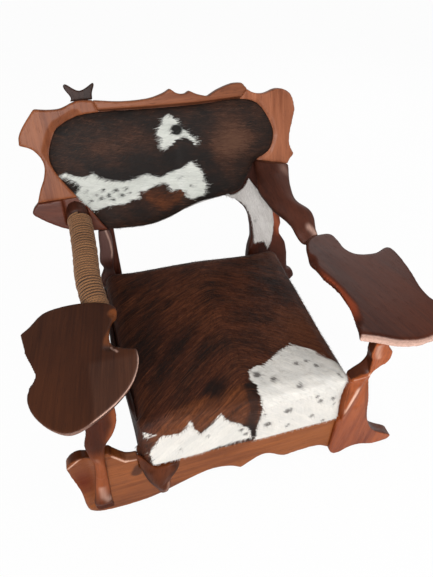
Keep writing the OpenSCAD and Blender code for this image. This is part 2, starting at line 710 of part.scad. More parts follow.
// The left rail's line: from its socket, bowing a little, to the plate's rear edge and on under it
plate_rear = -left_plate_front + left_plate_d;
rail_rear = from_back([socket_x, recess_deep, socket_h]);
rail_front = [left_plate_x + 200, plate_rear + 6, arm_h - rope_t - core_r - 3];
function rail_point(t, dx, dz) = rail_rear + t * (rail_front - rail_rear) + [dx, 0, dz];
rail_line = [rail_point(-0.05, 0, 0), rail_point(0.17, 4, 0), rail_point(0.47, 0, 5), rail_point(0.73, -7, 4),
    rail_point(1, 0, 0), rail_point(1, 5, -12) - [0, 42, 0], rail_point(1, 9, -20) - [0, 84, 0]];
rope_from = 0.62;
rope_to = 4.04;

function rail_way(s) = unit(along(rail_line, s + 0.02) - along(rail_line, s - 0.02));
function rail_ring(s, r, n) = ring_at(along(rail_line, s), rail_way(s), r, r, n);

module left_arm_rail() {
    n = 20;
    rings = concat([for (s = [0, 0.5]) rail_ring(s, collar_r, n)],
        [rail_ring(rope_from - 0.06, collar_r - 1.5, n), rail_ring(rope_from - 0.05, core_r, n)],
        [for (s = [1 : 0.5 : 4]) rail_ring(s, core_r, n)],
        [rail_ring(4.5, core_r - 1, n), rail_ring(5, core_r - 3, n), rail_ring(5.6, core_r - 7, n),
            rail_ring(5.9, core_r - 15, n)]);
    color("sienna") in_chair() {
        difference() {
            skin(rings);
            in_back() translate([back_x, recess_deep - seat_gap, 0]) cube([back_w / 2, 100, back_h]);
            translate([left_plate_x, plate_rear - 200, under_plate - seat_gap]) cube([left_plate_w, 202, 60]);
        }
        in_back() translate([socket_x, recess_deep - 1, socket_h]) rotate([-90, 0, 0])
            cylinder(r = tenon_r, h = tenon_l, $fn = 32);
    }
}

// Rope: one tube that winds round the rail, with a straight run at each end
rope_steps = 24;
rope_sides = 6;
rope_span = norm(along(rail_line, rope_to) - along(rail_line, rope_from));
rope_pitch = rope_span / rope_turns;
rope_wide = (rope_pitch - rope_gap) / 2;
rope_mid_r = core_r + seat_gap + rope_t / 2;
function rope_centre(k) = let (
        s = rope_from + 0.1 + (rope_to - rope_from - 0.2) * k / (rope_turns * rope_steps),
        c = along(rail_line, s), t = rail_way(s),
        side = unit(cross(t, [0, 0, 1])), rise = cross(side, t), f = 360 * k / rope_steps)
    [c + rope_mid_r * (cos(f) * rise + sin(f) * side), cos(f) * rise + sin(f) * side];
function rope_ring(k) = let (here = rope_centre(k), t = unit(rope_centre(k + 0.5)[0] - rope_centre(k - 0.5)[0]),
        out = unit(here[1] - (here[1] * t) * t), wide = cross(t, out))
    [for (i = [0 : rope_sides - 1]) let (f = 360 * i / rope_sides)
        here[0] + rope_t / 2 * cos(f) * out + rope_wide * sin(f) * wide / sin(60)];
function moved_ring(ring, by) = [for (p = ring) p + by];
rope_last = rope_turns * rope_steps;
rope_start_way = unit(rope_centre(0)[0] - rope_centre(0.5)[0]);
rope_end_way = unit(rope_centre(rope_last)[0] - rope_centre(rope_last - 0.5)[0]);
rope_rings = concat([moved_ring(rope_ring(0), rope_t * rope_start_way)],
    [for (k = [0 : rope_last]) rope_ring(k)],
    [moved_ring(rope_ring(rope_last), rope_t * rope_end_way)]);

// Least distance between points of neighbouring turns
rope_least = min([for (k = [0 : 3 : rope_last - rope_steps - 4], j = [-3 : 3])
    let (a = rope_rings[k + 1], b = rope_rings[k + 1 + rope_steps + j])
    min([for (p = a, q = b) norm(p - q)])]);
echo(rope_gap_to_itself = rope_least);

module rope_winding() {
    color("tan") in_chair() skin(rope_rings);
}

// The right rail is a branch: rows of place along it, shift across, half width, half height, lift
branch_rear = from_back([seat_right + 18, 0, 293]);
branch_front = [right_plate_x + 42, -right_plate_front + right_plate_d, under_plate + 19];
branch_rows = [[-0.14, -9, 64, 42, 12], [0, -9, 64, 40, 10], [0.15, -20, 61, 33, 2], [0.305, -34, 60, 33, 1],
    [0.444, -31, 53, 32, 1], [0.583, -22, 51, 32, 3], [0.69, -4, 51, 29, 5], [0.81, 4, 44, 25, 6],
    [0.93, 1, 39, 21, 6], [1, 5, 36, 17, 0], [1.05, 6, 30, 11, 0]];

// Its seam with the right stile runs from the pad's edge to the frame's outer edge, and all above goes
stile_edge = back_outer(right_stile_points);
branch_seam = [pad_run(14, 14)[0], stile_edge[len(stile_edge) - 1]];

module above_seam() {
    way = branch_seam[1] - branch_seam[0];
    high = [0, back_h / 2];
    stand(back_t + 1) linear_extrude(back_t * 5 + 1) translate([0, -seat_gap])
        polygon([branch_seam[0] - way, branch_seam[1] + way, branch_seam[1] + way + high,
            branch_seam[0] - way + high]);
}

module right_arm_rail() {
    way = branch_front - branch_rear;
    color("maroon") in_chair() {
        difference() {
            skin([for (r = path(branch_rows, 2))
                ring_at(branch_rear + r[0] * way + [r[1], 0, r[4]], [0, -1, 0], r[2], r[3], 16)]);
            in_back() translate([0, back_t, -back_h]) cube([back_w, 200, 3 * back_h]);
            in_back() above_seam();
            in_back() stand(back_t + 1) linear_extrude(100) polygon(stepped_in(pad_curve, -soft_gap));
            translate([0, 0, under_plate - 5]) linear_extrude(plate_t + 5 + seat_gap)
                polygon(stepped_in(right_plate_curve, -seat_gap));
        }
        branch_tenon(0);
    }
}

// Round tenon from the branch's front end into the plate's rear edge
module branch_tenon(clear) {
    translate([branch_front[0] + 5, branch_front[1] + 8, branch_front[2] - 4]) rotate([90, 0, 0])
        cylinder(r = tenon_r - 4 + clear, h = tenon_l + 8 + clear, $fn = 32);
}

// Feet

module floor_glides() {
    rear_y = rear_front(glide_t) + rear_leg_t / 2;
    places = [[board_x + lobe_w * 0.487, board_t / 2], [board_x + lobe_w * 0.656, board_t / 2],
        [leg_x + leg_w * 0.14, board_t / 2 - leg_proud / 2],
        [leg_x + leg_w * 0.78, board_t / 2 - leg_proud / 2],
        [seat_left - 20, rear_y], [seat_right + 27, rear_y]];
    color("dimgray") in_chair() for (p = places)
        translate([p[0], p[1], 0]) cylinder(r = glide_r, h = glide_t - seat_gap / 3, $fn = 32);
}

front_board();
front_right_leg();
front_left_post();
seat_corner_leg();
seat_left_board();
left_under_rail();
right_under_rail();
rear_cross_rail();
seat_front_rail();
seat_rear_rail();
seat_left_rail();
seat_right_rail();
corner_blocks();
seat_webbing();
seat_foam();
seat_hide();
back_left_stile();
back_top_rail();
back_right_stile();
back_left_wing();
back_panel();
back_foam();
back_hide();
back_battens();
horn_finial();
right_rear_leg();
leg_hide_panel();
left_rear_leg();
left_rear_brace();
left_arm_plate();
right_arm_plate();
right_arm_rail();
left_arm_rail();
rope_winding();
leg_dowels();
floor_glides();
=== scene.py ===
import math

import bpy
import numpy as np
from mathutils import Euler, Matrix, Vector


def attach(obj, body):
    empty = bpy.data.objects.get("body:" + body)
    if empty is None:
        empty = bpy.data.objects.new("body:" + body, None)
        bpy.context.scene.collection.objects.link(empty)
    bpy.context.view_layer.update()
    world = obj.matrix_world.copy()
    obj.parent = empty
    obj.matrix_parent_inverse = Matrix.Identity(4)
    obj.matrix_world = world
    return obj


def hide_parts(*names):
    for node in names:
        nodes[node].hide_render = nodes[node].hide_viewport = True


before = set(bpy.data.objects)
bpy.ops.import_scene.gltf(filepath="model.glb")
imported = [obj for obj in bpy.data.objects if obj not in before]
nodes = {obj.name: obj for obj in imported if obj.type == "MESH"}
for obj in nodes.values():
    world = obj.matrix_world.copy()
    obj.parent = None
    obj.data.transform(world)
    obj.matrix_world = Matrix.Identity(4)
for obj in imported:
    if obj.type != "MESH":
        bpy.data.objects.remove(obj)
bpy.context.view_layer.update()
scene = bpy.context.scene

# The scene is in metres. Shapes are worked out in millimetres from the seat, as in the part's source:
# x from the seat's middle, y back from its front edge and z up from the floor.
chair = {"middleX": 20.0, "middleY": 401.1, "seatHeight": 410.0, "seatBase": 206.0, "seatHalf": 300.0,
         "seatFront": -8.0, "seatRear": 612.0, "backY": 655.0, "recline": 17.0}
lean = math.radians(chair["recline"])
middle = np.array([chair["middleX"], chair["middleY"], 0])
upBack = np.array([0, math.sin(lean), math.cos(lean)])
outBack = np.array([0, -math.cos(lean), math.sin(lean)])


def inChair(x, y, z):
    return Vector(((x - chair["middleX"]) / 1000, (y - chair["middleY"]) / 1000, z / 1000))


def onBack(x, out, up):
    # in seat millimetres: across, out from the back's plane and up along its lean
    return np.array([x, chair["backY"], chair["seatHeight"]]) + out * outBack + up * upBack


def tint(red, green, blue):
    # a colour as a paint chart gives it, 0 to 255
    linear = [((c / 255 + 0.055) / 1.055) ** 2.4 if c > 10 else c / 255 / 12.92 for c in (red, green, blue)]
    return (*linear, 1.0)


def choose(piece):
    bpy.ops.object.select_all(action="DESELECT")
    piece.select_set(True)
    bpy.context.view_layer.objects.active = piece


def addObject(name, data):
    piece = bpy.data.objects.new(name, data)
    scene.collection.objects.link(piece)
    return piece


def read(rows, field, width, kind=float):
    values = np.zeros(len(rows) * width, kind)
    rows.foreach_get(field, values)
    return values.reshape(-1, width)


def places(piece):
    return read(piece.data.vertices, "co", 3)


def setPlaces(piece, co):
    piece.data.vertices.foreach_set("co", np.asarray(co, float).ravel())
    piece.data.update()


def facing(piece):
    return read(piece.data.vertex_normals, "vector", 3)


def modify(piece, kind, **settings):
    choose(piece)
    made = piece.modifiers.new(kind.lower(), kind)
    for key, value in settings.items():
        setattr(made, key, value)
    bpy.ops.object.modifier_apply(modifier=made.name)


def keep(piece, name, value):
    # a number for each point, which a material can read
    layer = piece.data.attributes.get(name) or piece.data.attributes.new(name, "FLOAT", "POINT")
    layer.data.foreach_set("value", np.asarray(value, np.float32).ravel())


def takeCopy(name, *sources):
    # solids of the part, joined under a new name, with the points that they share merged
    piece, *others = [addObject(name, nodes[source].data.copy()) for source in sources]
    choose(piece)
    for other in others:
        other.select_set(True)
        bpy.ops.object.join()
    piece.data.name = name
    bpy.ops.object.mode_set(mode="EDIT")
    bpy.ops.mesh.select_all(action="SELECT")
    bpy.ops.mesh.remove_doubles(threshold=0.00002)
    bpy.ops.object.mode_set(mode="OBJECT")
    return piece


def settle(piece, paint, slotName, *replaced):
    # gives a finished piece its finish and its place on the chair
    piece.data.materials.clear()
    piece.data.materials.append(paint)
    choose(piece)
    bpy.ops.object.shade_smooth()
    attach(piece, "root")
    if replaced:
        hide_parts(*replaced)


def ridges(piece, gain):
    # how proud each point stands of its neighbours, for worn edges and for painted shade in hollows
    co, out = places(piece), facing(piece)
    a, b = read(piece.data.edges, "vertices", 2, int).T
    count = np.bincount(np.hstack([a, b]), minlength=len(co)).clip(1)

    def around(values):
        total = np.zeros_like(values)
        np.add.at(total, a, values[b])
        np.add.at(total, b, values[a])
        return total

    value = -((around(co) / count[:, None] - co) * out).sum(1) * gain
    for _ in range(3):
        value = 0.4 * value + 0.6 * around(value) / count
    keep(piece, "ridge", value.clip(-1, 1))


def remesh(piece, grid, rounds):
    # even faces, and edges rounded by the rounds of smoothing
    modify(piece, "REMESH", mode="VOXEL", voxel_size=grid)
    modify(piece, "SMOOTH", factor=0.5, iterations=rounds)


def carve(piece, grid, rounds, shape=None):
    # turns a sawn blank into carved wood. A shape gets points in seat millimetres and their normals, and
    # gives back the points and the painted light, over 0 for painted shade and under 0 for painted
    # highlights. It may add how red the wood is.
    remesh(piece, grid, rounds)
    paintedLight = np.zeros(len(piece.data.vertices))
    red = []
    if shape:
        moved, paintedLight, *red = shape(places(piece) * 1000 + middle, facing(piece))
        setPlaces(piece, (moved - middle) / 1000)
        modify(piece, "SMOOTH", factor=0.5, iterations=2)
    keep(piece, "paintedLight", paintedLight)
    keep(piece, "red", red[0] if red else paintedLight * 0)
    ridges(piece, 1.04 / grid)
    return piece


def carveAll(slotName, rows):
    # each row: a name, the solid that it replaces, grid, rounds of smoothing, shape and wood
    for name, source, grid, rounds, shape, paint in rows:
        settle(carve(takeCopy(name, source), grid, rounds, shape), woods[paint], slotName, source)


def ramp(value, low, high):
    # goes smoothly from 0 at low to 1 at high, and falls with the value where low is the greater
    t = ((value - low) / (high - low)).clip(0, 1)
    return t * t * (3 - 2 * t)


def upright(co):
    # places seen from the front
    return co[:, [0, 2]]


def leant(co):
    # places laid flat along the lean of the back
    return np.stack([co[:, 0], (co - onBack(0, 0, 0)) @ upBack], 1)


def nearest(flat, line):
    # least distance from flat points to a line of points
    line = np.array(line, float)
    best = np.full(len(flat), 1e9)
    for start, run in zip(line, np.diff(line, axis=0)):
        t = (((flat - start) @ run) / (run @ run)).clip(0, 1)
        best = np.minimum(best, np.linalg.norm(flat - start - t[:, None] * run, axis=1))
    return best


def bell(distance, width):
    return np.exp(-(distance / width) ** 2)


def streak(flat, line, width):
    # 1 on a line of points, fading away from it
    return bell(nearest(flat, line), width)


def blob(flat, x, y, width, stretchX=1.0, stretchY=1.0):
    # 1 at a point, fading away from it
    return bell(np.hypot((flat[:, 0] - x) / stretchX, (flat[:, 1] - y) / stretchY), width)


def inside(flat, loop):
    # signed distance to a closed outline, positive inside it
    loop = np.array(loop, float)
    far = nearest(flat, np.vstack([loop, loop[:1]]))
    odd = np.zeros(len(flat), bool)
    for a, b in zip(loop, np.roll(loop, -1, 0)):
        crosses = (a[1] > flat[:, 1]) != (b[1] > flat[:, 1])
        with np.errstate(divide="ignore", invalid="ignore"):
            where = a[0] + (flat[:, 1] - a[1]) * (b[0] - a[0]) / (b[1] - a[1])
        odd ^= crosses & (flat[:, 0] < where)
    return np.where(odd, far, -far)


class Wire:
    # a socket that takes part in sums
    def __init__(self, paint, socket):
        self.paint = paint
        self.socket = socket

    def sum(self, kind, other):
        return self.paint.node("Math", {0: self, 1: other}, operation=kind)

    def __add__(self, other):
        return self.sum("ADD", other)

    def __sub__(self, other):
        return self.sum("SUBTRACT", other)

    def __mul__(self, other):
        return self.sum("MULTIPLY", other)

    __radd__ = __add__
    __rmul__ = __mul__


class Paint:
    # the nodes of a material or a world, under way to its last one
    def __init__(self, owner, last="Principled BSDF"):
        owner.use_nodes = True
        self.owner = owner
        self.tree = owner.node_tree
        self.last = self.tree.nodes[last]

    def node(self, kind, values=None, out=0, **settings):
        made = self.tree.nodes.new("ShaderNode" + kind)
        for key, value in settings.items():
            setattr(made, key, value)
        self.feed(values or {}, made)
        return Wire(self, made.outputs[out])

    def feed(self, values, end=None):
        for key, value in values.items():
            socket = (end or self.last).inputs[key]
            if isinstance(value, Wire):
                self.tree.links.new(value.socket, socket)
            else:
                socket.default_value = value
        return self.owner

    def where(self, along=(1, 0, 0), stretch=1.0, shift=(0, 0, 0)):
        # object coordinates with their X turned along the grain and drawn out
        turn = Vector((1, 0, 0)).rotation_difference(Vector(along).normalized()).to_euler()
        return self.node("Mapping", {"Vector": self.node("TexCoord", out=3), "Location": shift,
                                     "Rotation": turn, "Scale": (stretch, 1, 1)}, vector_type="TEXTURE")

    def noise(self, vector, scale, detail=2.0, rough=0.5, warp=0.0):
        return self.node("TexNoise", {"Vector": vector, "Scale": scale, "Detail": detail, "Roughness": rough,
                                      "Distortion": warp})

    def drawn(self, vector, scale, detail, shift=0.0):
        # noise that is finer one way than the other
        return self.noise(self.node("Mapping", {"Vector": vector, "Location": (shift, shift, 0),
                                                "Scale": (*scale, 1)}), 1.0, detail, 0.6)

    def layer(self, name):
        return self.node("Attribute", out=2, attribute_name=name)

    def step(self, value, low, high, first=0.0, last=1.0):
        return self.node("MapRange", {0: value, 1: low, 2: high, 3: first, 4: last},
                         interpolation_type="SMOOTHSTEP")

    def mix(self, mask, first, second):
        # a colour is a wire, or red, green and blue from the chart
        first, second = (c if isinstance(c, Wire) else tint(*c) for c in (first, second))
        return self.node("Mix", {0: mask, 6: first, 7: second}, out=2, data_type="RGBA")

    def bump(self, height, depth, strength=1.0, **under):
        return self.node("Bump", {"Height": height, "Distance": depth, "Strength": strength, **under})


def finish(name):
    return Paint(bpy.data.materials.new(name))


def wood(name, dark, light, along, look):
    # oiled hardwood: broad tone, growth bands, fine streaks and short open pores along the grain
    paint = finish(name)
    broad = paint.noise(paint.where(along, 3.5), 6.5, 3, 0.55, 0.6)
    bands = paint.noise(paint.where(along, 14, (3, 1, 2)), 42, 3, 0.55, 0.35)
    streaks = paint.noise(paint.where(along, 26, (1, 4, 2)), 190, 3, 0.6)
    pores = paint.step(paint.noise(paint.where(along, 16, (5, 2, 7)), 520), 0.60, 0.74)
    waves = paint.noise(paint.where(along, 1.6, (2, 2, 2)), 14, 2, 0.4)
    proud, red, paintedLight = paint.layer("ridge"), paint.layer("red"), paint.layer("paintedLight")
    colour = paint.mix(paint.step(broad * 0.55 + bands * look["figure"] + streaks * 0.25,
                                  0.17 + 0.5 * look["figure"], 0.58 + 0.5 * look["figure"]), dark, light)
    for mask, over in [
            (paint.step(bands, 0.52, 0.68, 0, 0.30), "band"),
            (pores * 0.5, "poreAndShade"),
            (paint.step(proud, 0.12, 0.8, 0, look["wear"]), "edge"),
            # painted shade in hollows
            (paint.step(proud, -0.75, -0.1, 0.55, 0), "poreAndShade"),
            # redder or bare wood; on the rear upright and the brace this is painted light
            (red * (0.7 + 0.6 * streaks), "red"),
            # painted shade where the painted light is over 0, and painted highlights in the edge colour where
            # it is under 0
            (paint.step(paintedLight + streaks * 0.2 - 0.1, 0.05, 1.0, 0, 0.85), "poreAndShade"),
            (paint.step(paintedLight * -1, 0.05, 1.0, 0, 0.8) * (streaks + 0.5), "edge")]:
        colour = paint.mix(mask, colour, look[over])
    rough = look["rough"] - 0.05 + 0.10 * broad + 0.22 * pores + 0.2 * red
    normal = paint.bump(streaks * 0.5 - pores, 0.00022, 0.8, Normal=paint.bump(waves, 0.0035, 0.55))
    return paint.feed({"Base Color": colour, "Roughness": rough, "Normal": normal, "Coat Roughness": 0.2,
                       "Coat Weight": look["coat"], "Specular IOR Level": look["shine"]})


# each look's edge colour serves worn edges and painted highlights, and its darkest colour serves pores and
# painted shade
redLook = {"red": (92, 32, 5), "figure": 0.45, "band": (84, 36, 15), "poreAndShade": (44, 17, 8),
           "edge": (234, 190, 166), "wear": 0.42, "rough": 0.38, "coat": 0.05, "shine": 0.2}
darkLook = {"red": (128, 50, 24), "figure": 0.30, "band": (48, 23, 13), "poreAndShade": (26, 12, 8),
            "edge": (228, 186, 168), "wear": 0.38, "rough": 0.45, "coat": 0.03, "shine": 0.2}
carvedLook = dict(redLook, shine=0.06, coat=0.02, rough=0.42, poreAndShade=(34, 14, 7), edge=(214, 160, 132))
paleLook = {"red": (150, 112, 74), "figure": 0.35, "band": (150, 112, 74), "poreAndShade": (104, 76, 50),
            "edge": (214, 186, 146), "wear": 0.2, "rough": 0.6, "coat": 0.0, "shine": 0.3}
rail = (math.cos(0.05), 0, math.sin(0.05))
# each row: a name, the dark and the light tone, the way that the grain runs, and the look
woods = {name: wood(name + "Wood", *row) for name, *row in [
    ("board", (98, 47, 19), (148, 84, 42), rail, dict(redLook, shine=0.1)),
    ("leg", (112, 46, 18), (170, 88, 44), (0.10, 0, 1), redLook),
    ("topRail", (104, 57, 36), (151, 91, 60), (1, 0, 0.02), redLook),
    ("leftStile", (112, 58, 32), (156, 92, 56), upBack, redLook),
    ("rightStile", (124, 69, 44), (174, 108, 76), upBack, redLook),
    ("wing", (78, 34, 20), (114, 58, 36), (1, 0, -0.2), redLook),
    ("plate", (50, 23, 11), (84, 44, 23), (0.12, 1, 0), dict(darkLook, red=(118, 62, 26))),
    ("rightPlate", (53, 20, 9), (87, 40, 22), (-0.25, 1, 0), dict(darkLook, red=(144, 64, 36))),
    ("branch", (44, 20, 13), (84, 43, 29), (0.1, -1, -0.3), darkLook),
    ("upright", (40, 15, 8), (82, 37, 21), (0, 0.1, 1), dict(darkLook, red=(140, 62, 28))),
    ("side", (22, 11, 8), (46, 22, 14), (0, 1, 0), darkLook),
    ("post", (40, 14, 4), (78, 32, 11), (0.12, 0, 1),
     dict(carvedLook, red=(142, 76, 44), edge=(222, 186, 168))),
    ("brace", (40, 18, 12), (80, 42, 32), (0, 0.1, 1), dict(darkLook, red=(108, 76, 70))),
    ("hoof", (58, 25, 10), (98, 48, 22), (0.25, 0, 1), carvedLook),
    ("horn", (38, 19, 12), (64, 36, 25), (0, 0.2, 1), darkLook),
    ("frame", (162, 124, 82), (200, 162, 116), (0, 1, 0), paleLook),
    ("cross", (162, 124, 82), (200, 162, 116), (1, 0, 0), paleLook)]}
ply = wood("ply", (170, 132, 92), (204, 168, 126), (1, 0, 0), paleLook)
print("woods ready")


def cowhide(name, look):
    # short glossy hair: each patch edge is broken up along the way the hair lies
    paint = finish(name)
    lie = paint.node("CombineXYZ", {
        0: paint.layer("hairAlong"), 1: paint.layer("hairAcross"), 2: paint.layer("hairOwn") * 5.0})
    hairs, locks, brindle, clouds, smudge = (paint.drawn(lie, *row) for row in [
        ((26, 430), 2), ((9, 110), 3, 3), (look["streak"], 3, 9), ((10, 15), 3, 5), ((42, 75), 2, 11)])
    deep = paint.layer("deep")
    ragged = (hairs - 0.5) * 0.016 + (locks - 0.5) * 0.026 + (brindle - 0.5) * 0.012
    white = paint.step(paint.layer("white") + ragged, -0.0015, 0.0022)
    spot = paint.step(paint.layer("spot") + ragged * 0.9, -0.005, 0.004)
    rust = paint.step(paint.layer("rust") + ragged * 1.3, -0.008, 0.014)
    coat = paint.mix(paint.step(clouds + brindle * 0.45 + locks * 0.25 - deep, 0.60, 1.03),
                     look["black"], look["brown"])
    coat = paint.mix(paint.step(locks * 0.45 + hairs * 0.75 + clouds * 0.3 - deep * 0.8, 0.66, 1.02, 0, 0.66),
                     coat, look["tan"])
    fox = paint.mix(paint.step(locks * 0.5 + hairs * 0.5 + clouds * 0.4, 0.46, 0.92),
                    look["rustLow"], look["rust"])
    coat = paint.mix(rust * paint.step(clouds + brindle * 0.5 - deep * 2, 0.25, 0.85, 0.2, 1.0), coat, fox)
    pale = paint.mix(paint.step(locks * 0.35 + hairs * 0.5 + clouds * 0.5, 0.45, 0.88),
                     look["whiteLow"], look["white"])
    pale = paint.mix(paint.step(smudge, 0.62, 0.78, 0, 0.42), pale, look["smudge"])
    pale = paint.mix(spot * look["spotDepth"], pale, look["spot"])
    return paint.feed({"Base Color": paint.mix(white, coat, pale), "Roughness": 0.56 + 0.14 * white,
                       "Normal": paint.bump(hairs * 0.9 + locks * 0.3, 0.0010, 0.7),
                       "Sheen Weight": 0.02, "Sheen Roughness": 0.4, "Specular IOR Level": 0.16})


hideLook = {"black": (30, 17, 13), "brown": (66, 31, 18), "tan": (122, 70, 42), "rust": (122, 67, 35),
            "rustLow": (52, 26, 14), "spotDepth": 0.85, "white": (230, 225, 217), "whiteLow": (204, 202, 197),
            "spot": (66, 58, 55), "smudge": (150, 142, 138), "streak": (9, 22)}
seatHide = cowhide("seatHide", hideLook)
backHide = cowhide("backHide", dict(
    hideLook, streak=(10, 20), black=(30, 25, 23), brown=(66, 39, 27), tan=(112, 78, 60), spot=(12, 9, 8),
    spotDepth=0.985, white=(230, 231, 224), whiteLow=(192, 194, 187)))
legHide = cowhide("legHide", dict(
    hideLook, whiteLow=(172, 166, 161), white=(222, 218, 214), spot=(120, 116, 116)))


def plain(name, low, high, scale, rough):
    paint = finish(name)
    speckle = paint.noise(paint.where(), scale, 3, 0.6)
    return paint.feed({"Base Color": paint.mix(speckle, low, high), "Roughness": rough,
                       "Normal": paint.bump(speckle, 0.0004)})


felt = plain("felt", (58, 56, 54), (86, 82, 78), 900, 0.95)
webbing = plain("webbing", (70, 62, 52), (108, 98, 84), 700, 0.9)
paleHighlight = plain("paleHighlight", (176, 174, 172), (214, 212, 208), 500, 0.8)


def jutePaint(look):
    paint = finish("jute")
    lie = paint.node("CombineXYZ", {0: paint.layer("ropeAlong"), 1: paint.layer("ropeRound")})
    fibres, patches = paint.drawn(lie, (160, 24), 3), paint.drawn(lie, (9, 2), 3)
    colour = paint.mix(paint.step(fibres * 0.6 + patches * 0.5, 0.35, 0.75), look["low"], look["high"])
    # painted shade in the grooves between strands and in the hollows between turns
    colour = paint.mix(paint.step(paint.layer("ropeGroove"), 0.2, 0.9, 0, 0.9), colour, look["groove"])
    colour = paint.mix(paint.step(paint.layer("ropeHollow"), 0.05, 0.34, 0, 0.95), colour, look["hollow"])
    return paint.feed({"Base Color": colour, "Roughness": 0.82, "Normal": paint.bump(fibres, 0.0006),
                       "Sheen Weight": 0.15, "Sheen Roughness": 0.5})


jute = jutePaint({"low": (92, 51, 24), "high": (190, 136, 86), "groove": (50, 26, 12), "hollow": (40, 21, 9)})
print("finishes ready")

# Front

seat = {"grid": 0.006, "rounds": 6, "pressure": 3.0, "most": 0.004, "after": 4, "fold": 0.019,
        "spread": 0.026, "cut": 0.022, "crown": 0.015, "swell": 0.0012}
back = {"grid": 0.005, "rounds": 8, "pressure": 2.0, "most": 0.003, "after": 3, "press": 0.0048,
        "swell": 0.0008}
cover = {"frames": 12}
board = {"dish": 8.0, "crease": 3.5, "lobe": 1.9}
leg = {"petalOut": 20.0, "ridge": 5.0, "facet": 0.55, "flute": 3.5, "leaf": 4.0, "toe": 5.0}
post = {"scoop": 3.5, "knuckle": 4.0}
hoof = {"side": 18.0, "rise": 82.0, "draw": 1.12}
plateRim = {"inner": 16.0, "notch": 9.0}
bevels = {"left": 5.0, "top": 7.0, "right": 4.0, "sawn": 0.003}


def boardShape(co, out):
    flat = upright(co)
    x, z = flat.T
    front = ramp(-out[:, 1], 0.2, 0.7)
    # the left lobe is dished, with a crease beside the post
    co[:, 1] += board["dish"] * blob(flat, -474, 205, 40, 1, board["lobe"]) * front
    co[:, 1] += board["crease"] * streak(flat, [(-457, 345), (-452, 270), (-458, 150), (-476, 60)], 9) * front
    # darker towards the lobe's left end, more so higher up; a painted shadow under the hoof, painted shade in
    # the crease by the post and on the ledge's top on the left, a painted reflection on the ledge right of
    # the post and a painted highlight along its lip
    paintedLight = 0.2 * ramp(-x, 440, 475) * front * (0.4 + 0.6 * ramp(z, 20, 190))
    paintedLight += 0.8 * ramp(nearest(flat, [(-322, 212), (-334, 184)]), 23, 10) * front
    paintedLight += 0.9 * streak(flat, [(-398, 330), (-392, 312)], 9)
    crest = np.interp(x, [-510, -470, -447, -400, -380, -357, -321], [285, 322, 324, 317, 290, 258, 254])
    ledge = ramp(out[:, 2], 0.35, 0.8) * (x < -318) * (z > 200)
    paintedLight += 0.75 * ledge * (x < -430) - 0.25 * ledge * (x > -400)
    lip = bell(z - crest, 5) * (x < -318) * (1 - bell(x + 425, 25))
    paintedLight -= 0.9 * lip * front * ramp(-out[:, 1], 0.5, 0.8)
    return co, paintedLight, 0.95 * front * blob(flat, -480, 200, 42, 1, board["lobe"])


def legShape(co, out):
    x, y, z = co.T.copy()
    # the leaf under the plate reaches out on its left, and the shoulder below it is scooped out
    reach = leg["petalOut"] * ramp(z, 448, 505)
    left = np.interp(z, [405, 428, 446, 474, 508, 543], [305, 339, 349, 356, 361, 364])
    depth = ((y + 10) / 42).clip(0, 1)
    co[:, 0] -= reach * (1 - 0.35 * depth) * (1 - ((x - left) / 45).clip(0, 1))
    rim = np.interp(x, [292, 330, 352, 362], [402, 411, 408, 440])
    co[:, 2] = np.where((z > rim) & (x < 366) & (z < 470), rim + (z - rim) * depth ** 0.7, co[:, 2])
    # a ridge curls down from the shoulder, and the wood falls away from it to the hide
    line = [(334, 392), (330, 372), (325, 340), (316, 300), (305, 255), (297, 222)]
    flat = np.stack([x, z], 1)
    away = np.interp(z, [222, 255, 300, 340, 372, 392], [297, 305, 316, 325, 330, 334]) - x
    front = ramp(-out[:, 1], 0.1, 0.5)
    tall = ramp(z, 215, 245) * ramp(z, 396, 372)
    co[:, 1] += front * (away.clip(0, 30) * leg["facet"] * tall - leg["ridge"] * streak(flat, line, 10)
                         + leg["flute"] * streak(flat, [(348, 388), (343, 330), (338, 270)], 12))
    # the leaf is hollowed a little, and the toe's upper face is dished
    co[:, 1] += front * leg["leaf"] * streak(flat, [(380, 520), (382, 470), (384, 445)], 16)
    toe = ramp(x, 392, 420) * ramp(z, 165, 120) * ramp(out[:, 2], 0.15, 0.6)
    co[:, 2] -= leg["toe"] * toe * bell(y - 14, 14)
    # painted shade on the shoulder's turned and scooped faces, behind its left rim, on the toe's upper face,
    # on the facet beside the hide and in the channel; painted highlights along the front edge, the ridge, the
    # leaf and the shoulder's rim
    turned = ramp(-out[:, 0], 0.35, 0.8) * ramp(z, 385, 425)
    scoop = ((z > rim - 1) & (x < 372) & (z < 500)) * depth.clip(0.0, 0.6) / 0.6
    paintedLight = turned * ramp(depth, 0.05, 0.25) + 1.1 * scoop * ramp(out[:, 2], -0.1, 0.5)
    paintedLight += (x < 312) * (z > 396) * ramp(depth, 0.1, 0.4)
    paintedLight += 0.8 * toe + 0.75 * front * streak(flat, [(297, 372), (301, 330), (294, 275)], 12)
    edge = [(354, 412), (352, 440), (349, 470), (344, 500), (341, 540)]
    taper = ramp(z, 205, 300) * ramp(z, 385, 345)
    paintedLight -= front * (0.8 * streak(flat, edge, 5) + 1.25 * taper * streak(flat, line, 4.5)
                      + 0.5 * streak(flat, [(372, 530), (374, 480)], 9)
                      + 0.45 * streak(flat, [(302, 402), (345, 409)], 3.5))
    channel = [(355, 375), (364, 310), (377, 250), (392, 180)]
    paintedLight += 0.5 * front * streak(flat, channel, 7) * ramp(z, 150, 190)
    return co, paintedLight


